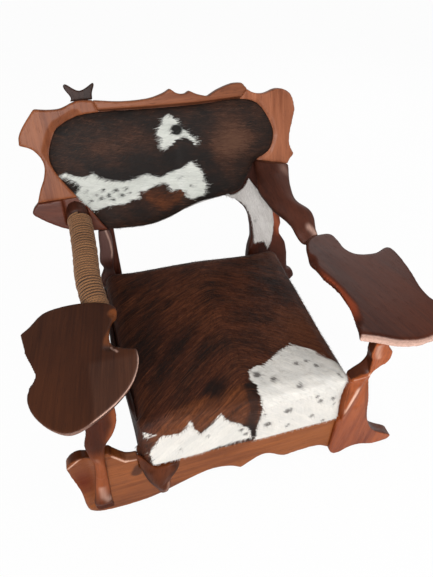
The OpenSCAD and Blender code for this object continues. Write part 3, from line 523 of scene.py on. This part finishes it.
def postShape(co, out):
    # the foot is short and narrow
    x, y, z = co.T
    foot = (140 - z).clip(0, None)
    z += foot * 0.17
    x -= (x + 440).clip(0, None) * 0.20 * (foot / 100).clip(0, 1)
    flat = upright(co)
    front = ramp(-out[:, 1], -0.1, 0.5)
    low = ramp(z, 335, 300)
    # knuckle above the board's edge, a streaming ridge, and the scooped face below it
    y -= post["knuckle"] * streak(flat, [(-420, 330), (-414, 300), (-408, 262)], 13) * front
    # the foot runs out flush with the board
    y += (-3 - y).clip(0, None) * front * ramp(z, 74, 48)
    facet = inside(flat, [(-447, 235), (-416, 226), (-408, 190), (-411, 130), (-420, 72), (-460, 90),
                          (-452, 160)])
    y += post["scoop"] * ramp(facet, -5, 14) * front * low
    # painted shade on the upper left, along the long crease, just round the scooped face and at the top under
    # the plate; painted highlights on the knuckle and on the lower scooped face
    paintedLight = 0.45 * ramp(x, -380, -412) * ramp(z, 335, 400) * front
    paintedLight += 0.55 * streak(flat, [(-450, 315), (-446, 250), (-458, 160), (-474, 60)], 7) * low
    paintedLight += 0.12 * ramp(facet, -6, -14) * low * front * ramp(z, 60, 90) + 0.3 * ramp(z, 500, 540)
    petal = streak(flat, [(-352, 500), (-354, 450), (-376, 398)], 13) * front
    paintedLight -= 0.25 * streak(flat, [(-424, 335), (-414, 300), (-404, 262)], 8) * front
    paintedLight -= 0.45 * streak(flat, [(-436, 168), (-436, 120), (-426, 90)], 15) * front * low
    return co, paintedLight, np.maximum(0.9 * petal, 0.9 * ramp(z, 385, 290) * front * ramp(z, 50, 180))


def hoofShape(co, out):
    # drawn out down to the board's lower edge, with a blunt tip, and rising with the hide at the corner
    x, y, z = co.T
    z[:] = chair["seatBase"] - (chair["seatBase"] - z) * hoof["draw"]
    x[:] = np.where(z < 90, -264 + (x + 270) * (1 + (90 - z) / 400), x + 4)
    x -= hoof["side"] * ramp(x, -246, -305) * ramp(z, 40, 180)
    z += hoof["rise"] * ramp(x, -270, -325) * ramp(z, 110, 206)
    flat = upright(co)
    front = ramp(-out[:, 1], 0.0, 0.5)
    y += 5 * streak(flat, [(-232, 190), (-240, 140), (-252, 110)], 13) * front
    y -= 4 * streak(flat, [(-290, 190), (-280, 130), (-266, 80)], 12) * front
    # painted shade along its right and left sides, and a painted highlight near its tip
    paintedLight = 0.7 * streak(flat, [(-222, 200), (-215, 165), (-232, 140)], 14)
    paintedLight += 0.7 * streak(flat, [(-312, 205), (-306, 160), (-290, 105), (-276, 62)], 6)
    paintedLight -= 0.5 * streak(flat, [(-246, 100), (-252, 66), (-258, 52)], 8) * front
    return co, paintedLight


def sideShape(co, out):
    # the side board stands out with the seat
    x, y, z = co.T
    x -= seat["spread"] * 1000 * ramp(y, 40, 330) * ramp(z, 230, 390)
    return co, x * 0


def leftPlateShape(co, out):
    x, y, z = co.T
    # a painted highlight along the front edge on the right, and painted light on the rounded front
    turn = bell(out[:, 2] - 0.6, 0.28) * (z > 562)
    right = ramp(x, -410, -385) * ramp(y, 130, 90)
    paintedLight = -1.1 * turn * right - 0.35 * ramp(-out[:, 1], 0.3, 0.8) * (1 - right) * (y < 0)
    # the hollow edge beside the seat is cut back to bare wood
    far = nearest(co[:, :2], [(-312, 263), (-300, 243), (-309, 209), (-321, 190), (-331, 170), (-336, 147)])
    bare = 0.85 * ramp(far, 22, 14) * ramp(y, 145, 165) * (z > 552)
    z -= plateRim["notch"] * ramp(far, 22, 0) * (z > 560)
    glint = streak(co[:, :2], [(-334, 148), (-331, 136), (-320, 122)], 3.5) * (out[:, 2] > 0.2)
    return co, paintedLight - 0.6 * glint, bare


def rightPlateShape(co, out):
    x, y, z = co.T.copy()
    # painted highlights on the front edge and on the rear rim, and the inner edge is rolled over
    front = ramp(-out[:, 1], 0.35, 0.7) * (y < 20) * (1 - 0.5 * ramp(out[:, 2], 0.3, 0.7))
    edge = [(289, 338), (277, 296), (292, 239), (305, 183), (311, 117), (300, 60), (293, 24)]
    far = nearest(co[:, :2], edge)
    co[:, 2] -= plateRim["inner"] * ramp(far, 36, 0) * (z > 556) * ramp(y, 20, 70)
    red = ramp(far, 36, 24) * ramp(y, 50, 110) * ramp(y, 300, 225)
    rear = ramp(out[:, 1], 0.2, 0.6) * (y > 380) * (x < 420)
    return co, -(0.62 + 0.5 * ramp(z, 566, 548)) * front - 0.5 * rear * ramp(out[:, 2], 0.1, 0.5), red


def branchShape(co, out):
    x, y, z = co.T.copy()
    across = np.stack([x, y], 1)
    # knuckles and slow hollows of a root
    for swell, *place in [(5, 366, 520, 26), (-4, 330, 490, 26), (-9, 372, 590, 34), (3, 290, 640, 38)]:
        co += swell * out * blob(across, *place)[:, None]
    # its top closes on the stile
    co += upBack * (2.6 * ramp(out @ upBack, 0.4, 0.8) * ramp(y, 670, 700))[:, None]
    # painted shade on its lower faces towards the stile, and painted highlights where it meets the plate and
    # on its top near the stile
    paintedLight = 0.55 * ramp(y, 720, 640) * ramp(out[:, 2], 0.5, -0.2)
    paintedLight -= 0.6 * streak(across, [(352, 474), (372, 456)], 13) * ramp(out[:, 2], 0.1, 0.6)
    paintedLight -= 0.35 * blob(across, 340, 690, 26) * ramp(out[:, 2], 0.0, 0.6)
    return co, paintedLight


carveAll("mahogany", [
    ("frontBoard", "front_board", 0.0035, 6, boardShape, "board"),
    ("frontRightLeg", "front_right_leg", 0.003, 9, legShape, "leg"),
    ("frontLeftPost", "front_left_post", 0.0025, 14, postShape, "post"),
    ("cornerLeg", "seat_corner_leg", 0.0025, 6, hoofShape, "hoof")])
carveAll("mahogany_dark", [
    ("sideBoard", "seat_left_board", 0.004, 4, sideShape, "side")])
print("front carved")

# Arms

carveAll("mahogany_dark", [
    ("leftPlate", "left_arm_plate", 0.003, 5, leftPlateShape, "plate"),
    ("rightPlate", "right_arm_plate", 0.004, 5, rightPlateShape, "rightPlate"),
    ("branch", "right_arm_rail", 0.004, 8, branchShape, "branch")])
carveAll("mahogany", [
    ("leftRail", "left_arm_rail", 0.003, 4, None, "branch")])
print("arms carved")

# Back and rear legs

padLeft = [(-336, 262), (-364, 300), (-404, 388), (-421, 425), (-400, 470), (-382, 493), (-322, 519)]
padTop = [(-382, 493), (-322, 519), (-248, 524), (-92, 519), (69, 516), (207, 519), (267, 502)]
padRight = [(267, 502), (308, 445), (322, 393), (304, 345), (253, 316)]


def chamfered(line, width, depth, dark, closing=0.0):
    # lets the board's face fall towards the pad along this line, with painted shade on the fall, and its ends
    # close on its neighbours
    def shape(co, out):
        co[:, 0] += closing * np.sign(out[:, 0]) * ramp(np.abs(out[:, 0]), 0.6, 0.9)
        near = nearest(leant(co), line)
        front = ramp(-out[:, 1], 0.2, 0.7)
        fall = depth * ramp(near, width, width * 0.25) * front
        co -= fall[:, None] * outBack
        return co, dark * ramp(near, width, width * 0.6) * front
    return shape


def uprightShape(co, out):
    flat = upright(co)
    # a painted lit patch down the right of its front: a painted highlight and a redder colour
    lit = streak(flat, [(326, 490), (340, 458), (350, 432)], 19) * ramp(-out[:, 1], 0.0, 0.5)
    co[:, 1] += 3 * streak(flat, [(300, 300), (330, 250)], 20) * ramp(-out[:, 1], 0.1, 0.6)
    return co, -0.2 * lit, lit


def braceShape(co, out):
    # painted light down its front with a painted highlight on its edge, and painted shade in its waist
    z = co[:, 2]
    front = ramp(-out[:, 1], -0.1, 0.6) * ramp(z, 425, 460)
    edge = streak(upright(co), [(-296, 545), (-288, 505), (-287, 470), (-292, 445)], 4)
    return co, 0.6 * bell(z - 405, 18) - 0.7 * edge * front, 0.8 * front * (1 - edge)


carveAll("mahogany_back", [
    ("leftStile", "back_left_stile", 0.0035, 5, chamfered(padLeft, 26, bevels["left"], 0.22), "leftStile"),
    ("topRail", "back_top_rail", 0.0035, 5, chamfered(padTop, 13, bevels["top"], 0.75, 1.8), "topRail"),
    ("rightStile", "back_right_stile", 0.0035, 5, chamfered(padRight, 16, bevels["right"], 0.2),
     "rightStile"),
    ("leftWing", "back_left_wing", 0.0035, 5, None, "wing")])
carveAll("mahogany_dark", [
    ("horn", "horn_finial", 0.0025, 6, None, "horn"),
    ("rightUpright", "right_rear_leg", 0.004, 6, uprightShape, "upright"),
    ("leftUpright", "left_rear_leg", 0.004, 5, None, "upright"),
    ("brace", "left_rear_brace", 0.0035, 6, braceShape, "brace")])
print("back carved")

# sawn pieces, with their edges eased
for name, source, slotName in [
        ("leftUnderRail", "left_under_rail", "mahogany_dark"),
        ("rightUnderRail", "right_under_rail", "mahogany_dark"),
        ("rearCrossRail", "rear_cross_rail", "mahogany_dark"), ("battens", "back_battens", "frame_wood")]:
    piece = takeCopy(name, source)
    modify(piece, "BEVEL", width=bevels["sawn"], segments=2, angle_limit=math.radians(40))
    settle(piece, woods["upright"], slotName, source)
    choose(piece)
    bpy.ops.object.shade_smooth_by_angle(angle=math.radians(35))
print("rails eased")

# Cushions

# patch outlines in flat millimetres, as unfold and leanFlat lay them out, and spots as x, y and radius
seatPatches = {"white": [
    [(-287, 76), (-267, 118), (-249, 152), (-199, 147), (-166, 188), (-158, 153), (-140, 121), (-116, 152),
     (-81, 185), (-69, 157), (-25, 114), (1, 77), (10, 38), (-78, 30), (-167, 10), (-240, -20), (-280, -8)],
    [(12, -30), (18, 25), (27, 100), (35, 170), (30, 224), (30, 253), (18, 274), (25, 302), (51, 314),
     (75, 310), (108, 330), (135, 348), (171, 359), (197, 345), (227, 329), (238, 307), (261, 287),
     (284, 268), (310, 255), (360, 240), (480, 230), (520, 150), (420, 60), (330, -40)],
    [(-306, 166), (-292, 174), (-270, 171), (-262, 164), (-276, 160), (-284, 148), (-298, 146)]], "rust": [
    [(-296, 120), (-270, 178), (-205, 232), (-150, 250), (-60, 262), (0, 262), (26, 225), (34, 150),
     (22, 95), (-20, 110), (-85, 178), (-140, 115), (-200, 140), (-255, 125)]]}
seatSpots = [
    (43, 282, 11), (81, 257, 7), (165, 292, 6), (196, 293, 5), (217, 271, 6), (148, 221, 7), (213, 138, 8),
    (199, 163, 5), (252, 135, 7), (261, 99, 5), (115, 127, 11), (56, 80, 10), (195, 66, 7), (120, 48, 5),
    (270, 229, 5), (42, 136, 5), (-10, 60, 7), (-24, 86, 5), (236, 30, 5), (-120, 95, 3), (-200, 60, 3)]
backPatches = {"white": [
    [(-49, 493), (-32, 499), (-13, 479), (-4, 463), (10, 443), (28, 426), (48, 405), (40, 398), (18, 416),
     (-3, 427), (-32, 409), (-50, 396), (-67, 395), (-76, 409), (-66, 423), (-80, 440), (-72, 460),
     (-57, 474)],
    [(-405, 345), (-382, 357), (-360, 342), (-338, 336), (-313, 338), (-293, 346), (-279, 325), (-243, 312),
     (-190, 308), (-155, 317), (-124, 324), (-90, 307), (-49, 317), (-14, 328), (19, 345), (37, 325),
     (60, 294), (55, 271), (65, 256), (57, 225), (39, 222), (14, 214), (-8, 223), (-12, 246), (-22, 256),
     (-51, 252), (-56, 264), (-70, 286), (-105, 282), (-134, 269), (-160, 267), (-160, 245), (-189, 243),
     (-213, 233), (-251, 235), (-290, 228), (-325, 218), (-347, 244), (-368, 280), (-346, 305), (-355, 322),
     (-372, 332), (-391, 341)]], "rust": [
    [(-165, 267), (-134, 269), (-105, 282), (-78, 290), (-57, 256), (-22, 258), (0, 234), (-28, 205),
     (-71, 188), (-97, 190), (-128, 222), (-150, 242)]]}
backSpots = [
    (-14, 450, 17), (-301, 276, 4), (-277, 288, 4), (-262, 268, 5), (-235, 281, 5), (-219, 263, 5),
    (-202, 282, 5), (-287, 261, 5), (-193, 267, 4), (-321, 257, 4), (-250, 252, 3), (-20, 296, 3),
    (12, 262, 3), (-330, 290, 3)]
legPatches = {"white": [[(0, -300), (800, -300), (800, 900), (0, 900)]],
              "rust": [[(2000, 0), (2001, 0), (2000, 1)]]}
legSpots = [(215, 150, 4), (250, 90, 3), (205, 220, 3), (240, 30, 3)]


def unfold(co):
    # seat places laid out flat, in metres: across, and up the front face and on over the top
    x, y, z = (co + middle / 1000).T
    top, base, half, front, rear = (chair[key] / 1000 for key in (
        "seatHeight", "seatBase", "seatHalf", "seatFront", "seatRear"))
    down = (top - z).clip(0, None)
    over = (y - front).clip(0, None)
    side = (np.abs(x) > half - 0.014) & (down > 0.012) & (y > front + 0.016)
    flatX = np.where(side, np.sign(x) * (half + down), x)
    flatY = np.where(side | (over > 0.010), top - base + over, z - base)
    flatY = np.where(~side & (over <= 0.022) & (down <= 0.022), top - base + over - down, flatY)
    flatY += np.where(~side & (y > rear), down, 0)
    return np.stack([flatX, flatY], 1)


def leanFlat(co):
    # back places laid out flat, in metres: across, and up along the lean
    return leant(co * 1000 + middle) / 1000


def seatSteep(y):
    # how much the seat's hair runs down to the front: most near it, less further back
    return 0.34 + 0.55 * (1 - ((y - 0.1) / 0.75).clip(0, 1))


def seatLie(flat):
    x, y = flat.T
    return x * 0.9 - y * 0.25, y + np.sqrt((x - 0.005) ** 2 + 0.02 ** 2) * seatSteep(y)


def backLie(flat):
    x, y = flat.T
    return x, y - 0.25 * np.sqrt((x - 0.07) ** 2 + 0.03 ** 2) * (x < 0.07) + 0.10 * (x > 0.07) * (x - 0.07)


def legLie(flat):
    return flat[:, 1], flat[:, 0] + 0.3 * flat[:, 1]


def seatLay(root, up):
    # which way the blades point: out from the middle and forward on top, down on the sides
    x, y = unfold(root).T
    sideways = np.sign(x - 0.005) * np.minimum(1, np.abs(x - 0.005) / 0.06 + 0.15)
    top = np.stack([sideways, -seatSteep(y) - 0.15, x * 0], 1)
    down = np.stack([sideways * 0.25, x * 0, x * 0 - 1], 1)
    return np.where((up[:, 2] > 0.6)[:, None], top, down)


def backLay(root, up):
    left = (leanFlat(root)[:, 0] < -0.02)[:, None]
    return np.where(left, -1.0, 1.0) * [1, 0, 0] + np.where(left, -0.25, -0.10) * upBack


def legLay(root, up):
    return np.tile(-upBack, (len(root), 1))


def seatFringe(spot, up):
    # thicker hair low on the sides, none underneath
    low = spot[:, 2] < chair["seatBase"] / 1000 + 0.016
    return np.where(up[:, 2] < -0.3, 0.0, np.where(low, 2.2, 1.0))


def forward(spot, up):
    return (up[:, 1] < 0.15) * 1.0


# how each hide is laid out and its hair lies, its patches, and how dark it is: all over, along furrows
# (gain, line, width) and in clouds (gain, place, width, stretch). Its hair's length and lift are metres.
hides = {
    "seat": {
        "paint": seatHide, "slot": "cowhide", "flatten": unfold, "lie": seatLie, "lay": seatLay,
        "patches": seatPatches, "spots": seatSpots, "dark": 0.0,
        "furrows": [(0.30, [(6, 40), (4, 110), (14, 190), (10, 250)], 17)],
        "clouds": [(0.22, -82, 261, 32), (0.12, 230, 560, 130, 1.6), (0.10, -200, 430, 120, 1.4),
                   (-0.2, 255, 430, 90, 1, 1.4), (-0.06, 120, 520, 170, 1, 1.2),
                   (-0.05, -40, 600, 110, 1, 1.4)],
        "fringe": seatFringe, "count": 34000, "length": 0.017, "lift": 0.0022},
    "back": {
        "paint": backHide, "slot": "cowhide", "flatten": leanFlat, "lie": backLie, "lay": backLay,
        "patches": backPatches, "spots": backSpots, "dark": 0.12,
        "furrows": [(0.14, [(-330, 330), (-200, 345), (-60, 345), (60, 400), (70, 320), (60, 200)], 45)],
        "clouds": [(0.10, 230, 300, 90), (-0.42, 165, 388, 62, 1.35), (-0.12, -230, 410, 60, 2)],
        "fringe": forward, "count": 18000, "length": 0.019, "lift": 0.0018},
    "leg": {
        "paint": legHide, "slot": "white_hide", "flatten": leanFlat, "lie": legLie, "lay": legLay,
        "patches": legPatches, "spots": legSpots, "dark": 0.0, "furrows": [], "clouds": [],
        "fringe": forward, "count": 3200, "length": 0.010, "lift": 0.0014}}


def markHide(piece, co, hide, own=0.0):
    # writes the patches of a hide, as distances in metres, and the lie of its hair on the piece's points
    along, across = hide["lie"](hide["flatten"](co))
    flat = hide["flatten"](co) * 1000
    x, y = flat.T
    for kind, loops in hide["patches"].items():
        keep(piece, kind, (np.max([inside(flat, loop) for loop in loops], 0) / 1000).clip(-0.2, 0.2))
    spot = np.max([(r - np.hypot(x - spotX, y - spotY)) / 1000 for spotX, spotY, r in hide["spots"]], 0)
    deep = np.full(len(flat), hide["dark"])
    for gain, line, width in hide["furrows"]:
        deep += gain * streak(flat, line, width)
    for gain, *place in hide["clouds"]:
        deep += gain * blob(flat, *place)
    for name, value in [("spot", spot.clip(-0.05, 0.05)), ("hairAlong", along), ("hairAcross", across),
                        ("deep", deep), ("hairOwn", x * 0 + own)]:
        keep(piece, name, value)


def puff(piece, pressure, most):
    # a short cloth run under inner pressure pulls the cover tight, by the given distance at most
    start = places(piece)
    choose(piece)
    cloth = piece.modifiers.new("cover", "CLOTH")
    cloth.settings.quality = 4
    cloth.settings.use_pressure = True
    cloth.settings.uniform_pressure_force = pressure
    cloth.settings.effector_weights.gravity = 0
    cloth.point_cache.frame_end = cover["frames"]
    for day in range(1, cover["frames"] + 1):
        scene.frame_set(day)
    bpy.ops.object.modifier_apply(modifier=cloth.name)
    scene.frame_set(1)
    moved = places(piece) - start
    far = np.linalg.norm(moved, axis=1)[:, None].clip(1e-9, None)
    setPlaces(piece, start + moved * np.minimum(1, most / far))


def stuffed(name, hide, filling, values):
    # a cover and its filling in one skin
    piece = takeCopy(name, hide, filling)
    remesh(piece, values["grid"], values["rounds"])
    puff(piece, values["pressure"], values["most"])
    modify(piece, "SMOOTH", factor=0.5, iterations=values["after"])
    return piece


def makeSeat():
    piece = stuffed("seatCushion", "seat_hide", "seat_foam", seat)
    co = places(piece)
    u, v = unfold(co).T
    swell = seat["swell"] * np.sin(u * 21 + 3 * np.sin(v * 9)) * np.sin(v * 17 + 1)
    co += facing(piece) * swell[:, None]
    # the folded hide stands out round the front left corner, more towards its foot
    x, y, z = (co + middle / 1000).T
    corner = ramp(x, -0.250, -0.296) * ramp(y, 0.032, 0.026) * (0.35 + 0.65 * ramp(z, 0.40, 0.27))
    bulge = ramp(y, 0.04, 0.33) * ramp(z, 0.23, 0.39) * ((-x - 0.12) / 0.18).clip(0, 1)
    co[:, 0] -= seat["fold"] * corner + seat["spread"] * bulge
    # its rear edge is full on the left
    co[:, 2] += seat["crown"] * ramp(y, 0.30, 0.60) * ramp(x, 0.26, -0.02) * ramp(z, 0.25, 0.40)
    # its foot is cut round over the carved leg
    x = co[:, 0] + chair["middleX"] / 1000
    co[:, 2] += seat["cut"] * ramp(x, -0.276, -0.320) * ramp(z, 0.33, 0.206) * ramp(y, 0.07, 0.02)
    setPlaces(piece, co)
    markHide(piece, co, hides["seat"])
    settle(piece, seatHide, "cowhide", "seat_hide", "seat_foam")
    return piece


def makeBack():
    piece = stuffed("backCushion", "back_hide", "back_foam", back)
    # the pad is squeezed into the frame
    out = facing(piece)
    outward = np.array(inChair(*onBack(0, 1, 0)) - inChair(*onBack(0, 0, 0))) * 1000
    sideways = 1 - np.abs(out @ outward)
    co = places(piece) + out * (back["swell"] + back["press"] * ramp(sideways, 0.1, 0.6))[:, None]
    setPlaces(piece, co)
    markHide(piece, co, hides["back"])
    settle(piece, backHide, "cowhide", "back_hide", "back_foam")
    return piece


def makeEdgeHighlight():
    # a pale tube along the pad's lower edge, standing in for the highlight on the hide's edge
    line = [(-262, 149), (-210, 142), (-142, 142), (-100, 149), (-64, 160), (-20, 178), (37, 194), (90, 203),
            (124, 206)]
    curve = bpy.data.curves.new("padEdgeHighlight", "CURVE")
    curve.dimensions = "3D"
    curve.bevel_depth = 0.0022
    curve.bevel_resolution = 3
    run = curve.splines.new("NURBS")
    run.points.add(len(line) - 1)
    for point, (x, up) in zip(run.points, line):
        point.co = (*inChair(*onBack(x, -11, up)), 1)
    run.use_endpoint_u = True
    choose(addObject("padEdgeHighlight", curve))
    bpy.ops.object.convert(target="MESH")
    settle(bpy.context.object, paleHighlight, "cowhide")


def legHideShape(co, out):
    # the dark wood of the leg shows along the hide's inner edge
    flat = leant(co)
    arch = [(128, 191), (169, 173), (200, 148), (218, 111), (226, 66), (229, 12), (230, 0)]
    pull = 12 * ramp(nearest(flat, arch), 28, 0)
    rise = 0.8 * ramp(flat[:, 1], 60, 160)
    co[:, 0] += pull * (1 - 0.3 * rise)
    co += (pull * rise)[:, None] * upBack
    return co, pull * 0


def makeLegHide():
    piece = carve(takeCopy("legHidePanel", "leg_hide_panel"), 0.003, 4, legHideShape)
    markHide(piece, places(piece), hides["leg"])
    # the panel's inner edge is dark
    keep(piece, "white", 0.05 - 0.1 * ramp(-facing(piece)[:, 0], 0.35, 0.8))
    settle(piece, legHide, "white_hide", "leg_hide_panel")
    return piece


hair = {"width": 0.0009, "tip": 0.72, "unruly": 0.26, "sunk": 0.0003, "seed": 7}


def unit(rows):
    return rows / np.linalg.norm(rows, axis=1)[:, None]


def growHair(name, cushion, hide):
    # short blades of hair that lie on a hide, each in the one colour of its root
    mesh = cushion.data
    mesh.calc_loop_triangles()
    rng = np.random.default_rng(hair["seed"])
    count = hide["count"]
    co, out = places(cushion), facing(cushion)
    corners = read(mesh.loop_triangles, "vertices", 3, int)
    a, b, c = (co[corners[:, i]] for i in range(3))
    area = np.linalg.norm(np.cross(b - a, c - a), axis=1)
    area *= hide["fringe"]((a + b + c) / 3, out[corners[:, 0]])
    picked = rng.choice(len(area), count, p=area / area.sum())
    u, v = rng.random(count), rng.random(count)
    u, v = np.where(u + v > 1, 1 - u, u), np.where(u + v > 1, 1 - v, v)
    shares = np.stack([1 - u - v, u, v])[:, :, None]
    root, up = ((shares * values[corners[picked].T]).sum(0) for values in (co, out))
    up = unit(up)
    way = hide["lay"](root, up)
    way += rng.normal(0, hair["unruly"], way.shape)
    way = unit(way - up * (way * up).sum(1)[:, None])
    side = np.cross(up, way)
    long, tall, wide = ((size * rng.uniform(least, most, count))[:, None] for size, least, most in [
        (hide["length"], 0.6, 1.25), (hide["lift"], 0.4, 1.3), (hair["width"], 0.6, 1.2)])
    low = root - up * hair["sunk"]
    bend = root + way * long * 0.55 + up * tall
    rows = [low - side * wide / 2, low + side * wide / 2, bend + side * wide * hair["tip"] / 2,
            bend - side * wide * hair["tip"] / 2, root + way * long + up * tall * 0.7]
    first = np.arange(count) * 5
    faces = [(k, k + 1, k + 2, k + 3) for k in first] + [(k + 3, k + 2, k + 4) for k in first]
    made = bpy.data.meshes.new(name)
    made.from_pydata(np.stack(rows, 1).reshape(-1, 3), [], faces)
    piece = addObject(name, made)
    markHide(piece, np.repeat(root, 5, 0), hide, np.repeat(rng.random(count), 5))
    settle(piece, hide["paint"], hide["slot"])


seatCushion = makeSeat()
backCushion = makeBack()
makeEdgeHighlight()
legHidePanel = makeLegHide()
growHair("legHair", legHidePanel, hides["leg"])
growHair("seatHair", seatCushion, hides["seat"])
growHair("backHair", backCushion, hides["back"])
print("cushions covered")

# Rope

rope = {"turns": 38, "stepsEach": 60, "sides": 12, "outer": 38.6, "start": 0.72, "end": 4.04,
        "strandPitch": 17.0, "overlap": 1.03, "looseness": 0.55}


def curvePlace(line, s):
    # a place on the smooth line through points, the way that the part's source runs it
    i = min(int(s), len(line) - 2)
    a, b, c, d = (line[max(0, min(i + k, len(line) - 1))] for k in (-1, 0, 1, 2))
    t = s - i
    return (2 * b + (c - a) * t + (2 * a - 5 * b + 4 * c - d) * t ** 2 + (3 * b - a - 3 * c + d) * t ** 3) / 2


def railLine():
    # the line of the left rail, in seat millimetres, from the back frame to the plate
    rear = onBack(-377.92, -10, 222)
    run = np.array([-360.0, 336.0, 534.0]) - rear
    bends = [(-0.05, 0, 0, 0), (0.17, 4, 0, 0), (0.47, 0, 0, 5), (0.73, -7, 0, 4), (1, 0, 0, 0),
             (1, 5, -42, -12), (1, 9, -84, -20)]
    return [rear + t * run + bend for t, *bend in bends]


def makeRope():
    # jute wound tightly round the left rail, laid up from three strands
    line = railLine()
    span = np.linalg.norm(curvePlace(line, rope["end"]) - curvePlace(line, rope["start"]))
    half = span / rope["turns"] * rope["overlap"] / 2
    count = rope["turns"] * rope["stepsEach"]
    sides = rope["sides"]
    k = np.arange(count + 1)
    s = rope["start"] + (rope["end"] - rope["start"]) * k / count
    ways = unit(np.array([curvePlace(line, v + 0.02) - curvePlace(line, v - 0.02) for v in s]))
    side = unit(np.cross(ways, (0, 0, 1.0)))
    turn = 2 * math.pi * k[:, None] / rope["stepsEach"]
    outs = np.cos(turn) * np.cross(side, ways) + np.sin(turn) * side
    wobble = rope["looseness"] * np.sin(k * 0.071) + 0.45 * np.sin(k * 0.0231 + 1)
    centres = np.array([curvePlace(line, v) for v in s]) + (rope["outer"] - half + wobble)[:, None] * outs
    ways = np.gradient(centres, axis=0)
    length = np.cumsum(np.linalg.norm(ways, axis=1))
    wide = np.cross(unit(ways), outs)
    a = np.arange(sides) * 2 * math.pi / sides
    lobe = np.abs(np.cos(1.5 * (a - 2 * math.pi * length[:, None] / rope["strandPitch"])))
    spoke = np.cos(a)[:, None] * outs[:, None] + np.sin(a)[:, None] * wide[:, None]
    co = centres[:, None] + (half * (0.80 + 0.24 * lobe))[:, :, None] * spoke
    steps = [(k * sides + i, k * sides + (i + 1) % sides) for k in range(count) for i in range(sides)]
    faces = [(i, j, j + sides, i + sides) for i, j in steps]
    faces += [tuple(range(sides - 1, -1, -1)), tuple(count * sides + i for i in range(sides))]
    mesh = bpy.data.meshes.new("ropeBinding")
    mesh.from_pydata([inChair(*p) for p in co.reshape(-1, 3)], [], faces)
    piece = addObject("ropeBinding", mesh)
    choose(piece)
    bpy.ops.object.mode_set(mode="EDIT")
    bpy.ops.mesh.select_all(action="SELECT")
    bpy.ops.mesh.normals_make_consistent(inside=False)
    bpy.ops.object.mode_set(mode="OBJECT")
    keep(piece, "ropeAlong", (length[:, None] + half * a) / 1000)
    keep(piece, "ropeRound", lobe * 0 + a)
    # masks for the painted shade in the grooves between strands and in the hollows between turns
    keep(piece, "ropeGroove", 1 - lobe)
    keep(piece, "ropeHollow", lobe * 0 + 0.5 - 0.5 * np.cos(a))
    settle(piece, jute, "jute", "rope_winding")


makeRope()
print("rope wound")

# Inner pieces, which stay as the part has them

for paint, names in [
        (woods["cross"], ["seat_front_rail", "seat_rear_rail", "corner_blocks", "leg_dowels"]),
        (woods["frame"], ["seat_left_rail", "seat_right_rail"]),
        (felt, ["floor_glides"]), (webbing, ["seat_webbing"]), (ply, ["back_panel"])]:
    for name in names:
        nodes[name].data.materials.clear()
        nodes[name].data.materials.append(paint)
print("inner pieces finished")

# Studio

studio = {"sky": 0.36, "floorSize": 14, "floorGlow": 0.96, "aim": (0, 0, 0.45), "lens": 30.283,
          "eye": (-0.30787, -1.12273, 1.51294), "turn": (48.0248, 0.1875, -15.3150)}
lamps = {"keyLamp": {"place": (-0.9, -3.2, 2.0), "size": 2.2, "power": 108.0},
         "fillLamp": {"place": (2.6, -1.6, 2.2), "size": 1.6, "power": 20.0},
         "rearLamp": {"place": (2.0, 2.6, 2.3), "size": 1.8, "power": 26.0}}

for name, lamp in lamps.items():
    light = bpy.data.lights.new(name, "AREA")
    light.energy = lamp["power"]
    light.size = lamp["size"]
    holder = addObject(name, light)
    holder.location = lamp["place"]
    way = Vector(studio["aim"]) - Vector(lamp["place"])
    holder.rotation_euler = way.to_track_quat("-Z", "Y").to_euler()

bpy.ops.mesh.primitive_plane_add(size=studio["floorSize"])
floor = bpy.context.object
floor.name = "floor"
floorPaint = Paint(bpy.data.materials.new("floorPaint"), "Material Output")
diffuse = floorPaint.node("BsdfDiffuse", {"Color": tint(240, 240, 240)})
glow = floorPaint.node("Emission")
mask = floorPaint.node("LightPath") * studio["floorGlow"]
floorPaint.feed({"Surface": floorPaint.node("MixShader", {0: mask, 1: diffuse, 2: glow})})
floor.data.materials.append(floorPaint.owner)

scene.world = scene.world or bpy.data.worlds.new("studioSky")
sky = Paint(scene.world, "Background")
seen = sky.node("LightPath")
sky.feed({"Color": (1, 1, 1, 1), "Strength": sky.node("MapRange", {0: seen, 3: studio["sky"]})})

eye = bpy.data.cameras.new("eye")
eye.lens = studio["lens"]
camera = addObject("camera", eye)
camera.location = studio["eye"]
camera.rotation_euler = Euler([math.radians(a) for a in studio["turn"]], "XYZ")
scene.camera = camera
scene.view_settings.view_transform = "Standard"

print("studio ready")
